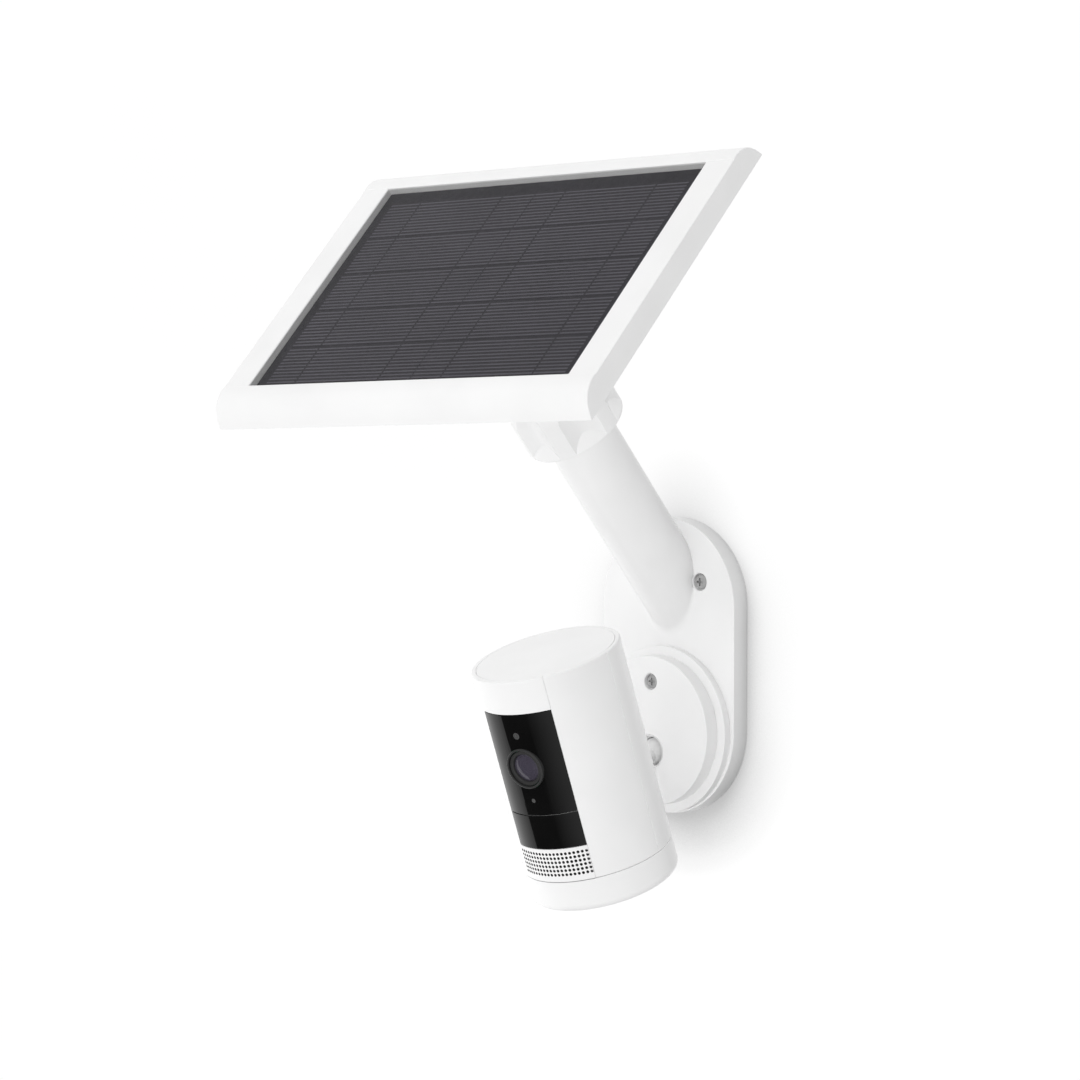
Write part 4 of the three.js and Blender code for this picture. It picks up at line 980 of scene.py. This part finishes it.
def panel_frame():
    low, high = extent("panel_frame", TOP)
    half, half_depth, thick = high[0], high[1], -low[2]
    profile = panel_profile(half_depth, thick)
    body = bar(profile, -half, half, 0.4).bent(lambda p: p[:, [2, 0, 1]])
    glass = extent("panel_glass", TOP)[1]
    width, depth = glass[0] * 2 + 0.6, glass[1] * 2 + 0.6
    opening = slab(width, depth, -1, LEDGE_TOP)
    chamfer_low, chamfer_high = [], []
    for x, y in ((-1, -1), (1, -1), (1, 1), (-1, 1)):
        chamfer_low.append((x * (width / 2 - 0.2), y * (depth / 2 - 0.2), -0.5))
        chamfer_high.append((x * (width / 2 + 0.45), y * (depth / 2 - 0.2), 0.15))
    chamfer = skin([chamfer_low, chamfer_high])
    corners = screw_places(COVER_SCREWS, TOP)
    reach = CORNER_BLOCK / 2
    blocks = [box((x - reach, y - reach, -thick), (x + reach, y + reach, 0)) for x, y in corners]
    pocket = carve(slab(*POCKET, LEDGE_LOW, thick + 1), blocks)
    recess = slab(*POCKET, thick - COVER_THICK - SEAM, thick + 1)
    threads = [rod(SMALL_PILOT_HOLE, -thick, -4.2, sides=32).moved(x, y) for x, y in corners]
    cuts = [opening, chamfer, slab(*LEDGE, -1, thick), pocket, recess, *threads]
    piece("frame", carve(body, cuts), TOP, "panel_frame", smooth=26)


def back_cover():
    low, high = extent("panel_back_cover", TOP)
    thick = -low[2]
    width, depth = high[0] * 2, high[1] * 2
    plate = slab(width, depth, thick - COVER_THICK, thick, 0.25, 1.0)
    tools = []
    towers = []
    for x, y in screw_places(COVER_SCREWS, TOP):
        tools.append(rod(SMALL_SCREW_HOLE, -thick - 1, 0, sides=32).moved(x, y))
        tools.append(rod(SMALL_HEAD_HOLE, -thick - 1, -thick + 1.3, sides=48).moved(x, y))
    for x, y in screw_places(HUB_SCREWS, TOP):
        towers.append(rod(3.4, -thick + COVER_THICK - 0.5, -5.2, sides=48).moved(x, y))
        tools.append(rod(SMALL_PILOT_HOLE, -thick - 1, -5.8, sides=32).moved(x, y))
    tools.append(rod(4, -thick - 1, 0).moved(*flat_centre("panel_lead", TOP)))
    ribs = [slab(width - 20, 1.2, thick - 3.2, thick - 1.5).moved(0, y) for y in (-42, -52, 42, 52)]
    body = carve(plate, [*towers, *ribs], "UNION")
    piece("back_cover", carve(body, tools), TOP, "panel_back_cover")


def glass_and_cells():
    low, high = extent("panel_glass", TOP)
    width, depth = high[0] * 2, high[1] * 2
    piece("glass", slab(width, depth, -high[2], -low[2], 0.15, 0.5), TOP, "panel_glass")
    low, high = extent("solar_cells", TOP)
    sheet = slab(width, depth, -high[2] + SHEET_DROP, -low[2], 0.05, 0.5)
    surface = high[2] - SHEET_DROP
    side, front, back = CELL_MARGINS
    left, right = -width / 2 + side * width, width / 2 - side * width
    near, far = -depth / 2 + front * depth, depth / 2 - back * depth
    row = (far - near) / CELL_ROWS
    column = (right - left) / CELL_COLUMNS
    parts = [sheet]
    gap, row_gap = CELL_GAP
    for i in range(CELL_ROWS):
        for j in range(CELL_COLUMNS):
            x, y = left + j * column, near + i * row
            first = (x + gap, y + row_gap, surface - 0.2)
            parts.append(box(first, (x + column - gap, y + row - row_gap, surface + 0.05)))
    stops = [left + (right - left) * share for share in (0.0, *BUSBARS, 1.0)]
    spans = []
    for a, b in zip(stops, stops[1:]):
        start, end = a + row_gap, b - row_gap
        if start < 0 < end:
            spans += [(start, -0.2), (0.2, end)]
        else:
            spans.append((start, end))
    pitch = (row - 2 * row_gap) / FINGERS_PER_ROW
    reach = FINGER_HALF_WIDTH
    for i in range(CELL_ROWS):
        for k in range(FINGERS_PER_ROW):
            y = near + i * row + row_gap + pitch * (k + 0.5)
            for start, end in spans:
                parts.append(box((start, y - reach, surface), (end, y + reach, surface + 0.1)))
    piece("cells", together(parts), TOP, "solar_cells", extra_look=LOOKS["cell_fingers"],
          extra_from=lambda centre: centre[2] > surface + 0.052)


# --- Camera body ------------------------------------------------------------------------------


def rim_wall(inner, outer, first, last, low, high):
    """Part of the camera's side whose top outer edge is softly rounded."""
    corners = [(inner, low, 0.2), (outer, low, 0.12), (outer, high, 0.7), (inner, high, 0.2)]
    return round_bar(rounded(corners, 4), first, last, 0.1)


def lid_seat():
    low, high = extent("top_lid", CAMERA)
    radius, low = high[0] + HAIRLINE, low[2] - SEAM
    corners = [(0, low, 0), (radius, low, 0), (radius, -0.15, 0), (radius + 0.2, 0.05, 0)]
    return lathe(rounded(corners + [(radius + 0.2, 2, 0), (0, 2, 0)]), 192)


def top_lid():
    low, high = extent("top_lid", CAMERA)
    piece("lid", rod(high[0], low[2], high[2], 0.15, 192), CAMERA, "top_lid")


def shells():
    inner = BODY_RADIUS - BODY_WALL
    low = extent("rear_shell", CAMERA)[0][2]
    seam = math.degrees(HAIRLINE / BODY_RADIUS)
    rear = rim_wall(inner, BODY_RADIUS, REAR_ANGLE + 2 * seam, 360 - REAR_ANGLE - 2 * seam, low, 0)

    def facing_back(shape):
        return shape.rotated("X", -90).moved(0, 0, -LID_HIGH[2])

    boss = facing_back(rod(STEM_BOSS, 18.5, 29))
    boss = carve(boss, [rod(inner + 1, -90, 0, sides=128)], "INTERSECT")
    rear = carve(rear, [boss], "UNION")
    cuts = [facing_back(rod(STEM_HOLE, 10, 40)), facing_back(rod(STEM_NUT_ROOM, 17, 23.5))]
    piece("shell_rear", carve(rear, [*cuts, lid_seat()]), CAMERA, "rear_shell", smooth=28)

    edge = INSERT_ANGLE + seam / 2
    back_low = extent("battery_sleeve", CAMERA)[0][2] + 1.8
    back_top = extent("top_lid", CAMERA)[0][2] - 1
    wings = [rim_wall(inner, BODY_RADIUS, *sorted((side * edge, side * REAR_ANGLE)), low, 0)
             for side in (-1, 1)]
    backing = curved_wall(26.4, inner - SEAM, -LAP_ANGLE, LAP_ANGLE, back_low, back_top, 0.1)
    laps = []
    for side in (-1, 1):
        span = sorted((side * edge, side * LAP_ANGLE))
        laps.append(curved_wall(27, inner + 0.5, *span, back_low, back_top, 0.1))
    body = carve(wings[0], [wings[1], backing, *laps], "UNION")
    openings = [curved_wall(20, 31, -24, 24, -68, -16, 0)]
    openings.append(curved_wall(20, 31, -28, 28, -82.6, -70.6, 0))
    piece("shell_front", carve(body, [*openings, lid_seat()]), CAMERA, "front_shell", smooth=28)


def facing_out(shape, down):
    return shape.rotated("X", 90).moved(0, 0, -down)


def face_insert():
    inner = BODY_RADIUS - BODY_WALL
    low = extent("face_insert", CAMERA)[0][2]
    window_top = extent("camera_window", CAMERA)[1][2]
    window_low = extent("sensor_window", CAMERA)[0][2]
    strip = rim_wall(inner, BODY_RADIUS, -INSERT_ANGLE, INSERT_ANGLE, low, 0)
    floor = BODY_RADIUS - WINDOW_THICK - SEAM
    wide = INSERT_ANGLE * 1.1
    holes = []
    for row in range(GRILLE_ROWS):
        down = GRILLE_LAST_ROW - row * GRILLE_PITCH[1]
        for column in range(GRILLE_COLUMNS):
            angle = (column - (GRILLE_COLUMNS - 1) / 2) * GRILLE_PITCH[0] / BODY_RADIUS
            hole = facing_out(rod(GRILLE_HOLE, 27, 31, sides=14), down)
            holes.append(hole.rotated("Z", math.degrees(angle)))
    cuts = [
        curved_wall(floor, 31, -wide, wide, window_low - 0.2, window_top + 0.2, 0),
        curved_wall(20, 31, -25, 25, -52.5, -17, 0),
        curved_wall(20, 31, -22, 22, -67.5, -58, 0),
        together(holes),
        lid_seat(),
    ]
    top = GRILLE_LAST_ROW - GRILLE_ROWS * GRILLE_PITCH[1]

    # Painted shade: the walls of the grille holes take black rubber so the holes read dark.
    def painted_hole_shade(centre):
        return math.hypot(centre[0], centre[1]) < BODY_RADIUS - 0.07 and centre[2] < -top

    piece("insert", carve(strip, cuts), CAMERA, "face_insert", smooth=28,
          extra_look=LOOKS["black_rubber"], extra_from=painted_hole_shade)


def windows():
    angle = INSERT_ANGLE - math.degrees(HAIRLINE / BODY_RADIUS)
    inner = BODY_RADIUS - WINDOW_THICK
    low, high = heights("camera_window", CAMERA)
    pane = curved_wall(inner, BODY_RADIUS, -angle, angle, low, high, 0.15)
    holes = [facing_out(rod(BEZEL_RADIUS + HAIRLINE, 20, 40, sides=96), LENS_DOWN)]
    for node, radius in (("light_sensor", 1.45), ("status_led", 0.94)):
        sensor = extent(node, CAMERA)
        holes.append(facing_out(rod(radius, 20, 40, sides=48), -(sensor[0][2] + sensor[1][2]) / 2))
    piece("window", carve(pane, holes), CAMERA, "camera_window", smooth=28)
    low, high = heights("sensor_window", CAMERA)
    pane = curved_wall(inner, BODY_RADIUS, -angle, angle, low, high, 0.15)
    piece("window_lower", pane, CAMERA, "sensor_window", smooth=28)


def lens():
    """A raised rim, the barrel's face ring, and the front lens over the rings inside."""
    proud = BODY_RADIUS + 0.4
    bezel = [(BEZEL_BORE, 27, 0), (BEZEL_RADIUS, 27, 0)]
    bezel += [(BEZEL_RADIUS, proud, 0.38), (BEZEL_BORE, proud, 0.3)]
    piece("bezel", facing_out(lathe(rounded(bezel), 128), LENS_DOWN), CAMERA, "lens_bezel")
    seat = LENS_RADIUS + 0.2
    barrel = [(0, 17.2, 0), (5.4, 17.2, 0), (5.4, 23, 0), (BARREL_RADIUS, 23, 0)]
    barrel += [(BARREL_RADIUS, BARREL_FACE, 0.2), (seat + 0.35, BARREL_FACE, 0.15)]
    barrel += [(seat, BARREL_FACE - 0.5, 0), (seat, LENS_SEAT, 0)]
    barrel += [(4.4, LENS_SEAT, 0.1), (4.2, LENS_SEAT - 0.9, 0)]
    barrel += [(3.2, LENS_SEAT - 0.9, 0.1), (3.0, LENS_SEAT - 1.8, 0)]
    barrel += [(2.2, LENS_SEAT - 1.8, 0.1), (2.0, LENS_SEAT - 2.8, 0), (0, LENS_SEAT - 3.2, 0)]
    piece("barrel", facing_out(lathe(rounded(barrel), 128), LENS_DOWN), CAMERA, "lens_barrel")
    low, high = extent("lens_glass", CAMERA)
    back, front = -high[1], -low[1]
    crown = 14.0
    centre = front - crown
    glass = [(0, back, 0), (LENS_RADIUS, back, 0.1)]
    glass += arc(crown, centre, math.acos(LENS_RADIUS / crown), math.pi / 2)
    piece("front_lens", facing_out(lathe(rounded(glass), 128), LENS_DOWN), CAMERA, "lens_glass")


def window_dots():
    """The light sensor and the status light, seen as two small dots in the window."""
    dots = (("sensor_dot", "light_sensor", 1.4), ("light_dot", "status_led", 0.9))
    for name, node, radius in dots:
        low, high = extent(node, CAMERA)
        down = -(low[2] + high[2]) / 2
        face = BODY_RADIUS - 0.06
        profile = [(0, -high[1], 0), (radius, -high[1], 0), (radius, face, 0.12)]
        if node == "status_led":
            profile.append((0, face + 0.05, 0))
        else:
            profile += [(radius * 0.72, face, 0.1), (radius * 0.66, face - 0.2, 0)]
            profile += [(radius * 0.34, face - 0.2, 0), (radius * 0.28, face - 0.02, 0.05)]
            profile.append((0, face, 0))
        shape = facing_out(lathe(rounded(profile), 48), down)
        piece(name, shape, CAMERA, node, extra_look=LOOKS["dot"],
              extra_from=lambda centre: True)


def cap_and_seal():
    bottom, top = heights("bottom_cap", CAMERA)
    inner = BODY_RADIUS - BODY_WALL - SEAM
    floor = bottom + CAP_FLOOR
    profile = [(0, bottom, 0), (BODY_RADIUS, bottom, CAP_ROUND), (BODY_RADIUS, top + 0.15, 0.12)]
    profile += [(inner, top, 0.2), (inner, floor, 2.2), (0, floor, 0)]
    piece("cap", lathe(rounded(profile, 8), 192), CAMERA, "bottom_cap", smooth=28)
    low, high = extent("cap_seal", CAMERA)
    radius = (high[2] - low[2]) / 2
    ring = high[0] - radius
    angles = np.linspace(0, 2 * math.pi, 12, endpoint=False)
    up = low[2] + radius
    section = [(ring + radius * math.cos(a), up + radius * math.sin(a)) for a in angles]
    piece("seal", lathe(section, 128), CAMERA, "cap_seal")


def battery():
    low, high = extent("battery_pack", CAMERA)
    pack = bar(rounded(rectangle(low, high, 3), 8), low[2], high[2], 0.8)
    latch_low, latch_high = extent("battery_latch", CAMERA)
    far = (latch_high[0] + SEAM, low[1] + 2.4, latch_high[2] + 1)
    recess = box((latch_low[0] - SEAM, low[1] - 1, low[2] - 1), far)
    grooves = [box((x - 0.4, high[1] - 0.4, low[2] + 6), (x + 0.4, high[1] + 1, low[2] + 18))
               for x in np.arange(-12, 13, 3)]
    piece("battery", carve(pack, [recess, *grooves]), CAMERA, "battery_pack")
    latch = box(latch_low, latch_high, 0.3)
    left, right, face = latch_low[0] + 1.5, latch_high[0] - 1.5, latch_low[1]
    ridges = [box((left, face, z), (right, face + 0.5, z + 0.5))
              for z in np.arange(latch_low[2] + 2, latch_high[2] - 2, 1.2)]
    piece("latch", carve(latch, ridges), CAMERA, "battery_latch")


CAD_SHOWN = [
    "arm_lead", "panel_lead", "glass_gasket", "charge_board", "image_board", "motion_sensor",
    "speaker", "main_board", "battery_sleeve", "battery_contacts", "setup_button",
]


# --- Room, light and camera -------------------------------------------------------------------


def backdrop():
    """A pale wall that runs down into a floor; its glow has a shadow painted in close to what stands on it."""
    behind_plate = 0.0005
    corners = [(behind_plate, 3.0), (behind_plate, WALL_FOOT)]
    for angle in np.linspace(0, math.pi / 2, 12):
        y = -WALL_CURVE + (WALL_CURVE + behind_plate) * math.cos(angle)
        corners.append((y, WALL_FOOT - WALL_CURVE * math.sin(angle)))
    corners.append(FLOOR_END)
    mesh = bpy.data.meshes.new("room")
    points = [(x, y, z) for y, z in corners for x in (-ROOM_HALF_WIDTH, ROOM_HALF_WIDTH)]
    faces = [(2 * i + 2, 2 * i + 3, 2 * i + 1, 2 * i) for i in range(len(corners) - 1)]
    mesh.from_pydata(points, [], faces)
    mesh.shade_smooth()
    look = Look("room")
    tone = look.between(look.noise(300.0, 2.0), 1.0, 1.02)
    # Painted shadow: the glow is dimmed by ambient occlusion about a normal tilted towards LIGHT_FROM, so the
    # painted shade leans away from it.
    shadow_side = Vector(LIGHT_FROM).normalized()
    near = look.add("AmbientOcclusion", {"Distance": SHADOW_REACH, "Normal": shadow_side},
                    output="AO", samples=8)
    around = look.add("AmbientOcclusion", {"Distance": BOUNCE_REACH}, output="AO", samples=8)
    seen = look.ramp(near, 0.45, 0.97, SHADOW_TONE, 1.0)
    # What bounces off the wall gets its glow as light, dimmed to nothing near things: painted shade on what stands
    # close.
    cast = look.ramp(around, 0.6, 1.0, 0.0, WALL_BOUNCE)
    bounced = look.add("LightPath", {}, output="Is Diffuse Ray")
    shade = look.add("Mix", {"Factor": bounced, "A": seen, "B": cast})
    level = look.add("Math", {0: tone, 1: shade}, operation="MULTIPLY")
    glow_with_painted_shadow = look.add("Emission", {"Color": grey(1.0), "Strength": level})
    clear = look.add("BsdfTransparent", {"Color": grey(1.0)})
    behind = look.add("NewGeometry", {}, output="Backfacing")
    mesh.materials.append(look.finish(look.add("MixShader", {0: behind, 1: glow_with_painted_shadow, 2: clear})))
    room = bpy.data.objects.new("room", mesh)
    room.visible_glossy = False
    scene.collection.objects.link(room)


def light(name, kind, energy, turn):
    """A light that no face mirrors. turn is its rotation as a quaternion."""
    data = bpy.data.lights.new(name, kind)
    data.energy = energy
    made = bpy.data.objects.new(name, data)
    made.rotation_mode = "QUATERNION"
    made.rotation_quaternion = turn
    made.visible_glossy = False
    scene.collection.objects.link(made)
    return made


def key_lamp():
    turn = (Vector(KEY_AIM) - Vector(KEY_AT)).to_track_quat("-Z", "Y")
    made = light("key", "AREA", KEY_POWER, turn)
    made.location = KEY_AT
    made.data.shape = "RECTANGLE"
    made.data.size = made.data.size_y = KEY_SIZE


def fill_light():
    """A fill light that reaches everywhere: it throws no shadow and no highlight."""
    turn = Vector(FILL_FROM).to_track_quat("Z", "Y")
    light("front", "SUN", FILL_STRENGTH * math.pi, turn).data.use_shadow = False


def surroundings():
    """Even light for everything, but a darker room with a soft glow for what mirrors it."""
    world = bpy.data.worlds.new("studio")
    world.use_nodes = True
    tree = world.node_tree
    tree.nodes.clear()

    def add(kind, inputs, output=0, **settings):
        return add_node(tree, kind, inputs, output, **settings)

    ray = add("TexCoord", {}, output="Generated")

    def ramps(start, table):
        total = start
        for towards, near, far, low, high in table:
            value = add("VectorMath", {0: ray, 1: towards}, output="Value", operation="DOT_PRODUCT")
            ramp = add_ramp(tree, value, near, far, low, high)
            total = add("Math", {0: total, 1: ramp}, operation="ADD")
        return total

    even = add("Background", {"Strength": ramps(SOFT_LIGHT, LIT_FROM)})
    room = add("Background", {"Strength": ramps(0.0, MIRRORED)})
    shine = add("LightPath", {}, output="Is Glossy Ray")
    both = add("MixShader", {0: shine, 1: even, 2: room})
    output = tree.nodes.new("ShaderNodeOutputWorld")
    tree.links.new(both, output.inputs["Surface"])
    for node in tree.nodes:
        if node.type == "BACKGROUND":
            node.inputs["Color"].default_value = grey(1.0)
    scene.world = world


def softbox_strip():
    """A tall card beside the wall that only mirrors in the camera's black window."""
    points = []
    for angle in (math.radians(degrees) for degrees in STRIP_ANGLES):
        x, y = STRIP_RADIUS * math.sin(angle), -STRIP_RADIUS * math.cos(angle) - 0.1
        points += [(x, y, -1.6), (x, y, 0.1)]
    mesh = bpy.data.meshes.new("strip")
    mesh.from_pydata(points, [], [(0, 1, 3, 2)])
    look = Look("strip")
    along = look.add("SeparateXYZ", {"Vector": look.place}, output="Y")
    level = look.ramp(along, points[0][1], points[2][1], *STRIP_GLOW)
    glow = look.add("Emission", {"Color": grey(1.0), "Strength": level})
    mesh.materials.append(look.finish(glow))
    strip = bpy.data.objects.new("strip", mesh)
    strip.visible_camera = strip.visible_diffuse = strip.visible_shadow = False
    strip.visible_transmission = False
    scene.collection.objects.link(strip)


def picture_camera():
    data = bpy.data.cameras.new("camera")
    data.lens = VIEW_LENS
    data.sensor_width = 36.0
    data.clip_start, data.clip_end = 0.05, 20
    made = bpy.data.objects.new("camera", data)
    back = Vector((
        math.sin(VIEW_AZIMUTH) * math.cos(VIEW_ELEVATION),
        -math.cos(VIEW_AZIMUTH) * math.cos(VIEW_ELEVATION),
        math.sin(VIEW_ELEVATION),
    ))
    made.location = (Vector(VIEW_AIM) + back * VIEW_DISTANCE) * MM
    made.rotation_mode = "QUATERNION"
    made.rotation_quaternion = (-back).to_track_quat("-Z", "Y")
    scene.collection.objects.link(made)
    scene.camera = made


wall_plate()
socket_cup()
round_base()
retainer()
locking_collar()
liner("panel_liner", "panel_ball_liner", PANEL_LINER, ARM, 96)
liner("camera_liner", "camera_ball_liner", CAMERA_LINER, LINER, 64)
panel_stud()
camera_stud()
panel_hub()
panel_frame()
back_cover()
glass_and_cells()
top_lid()
shells()
face_insert()
windows()
lens()
window_dots()
cap_and_seal()
battery()
screws()
for shown in CAD_SHOWN:
    dressed(shown)
backdrop()
surroundings()
softbox_strip()
key_lamp()
fill_light()
picture_camera()
scene.view_settings.view_transform = "Standard"
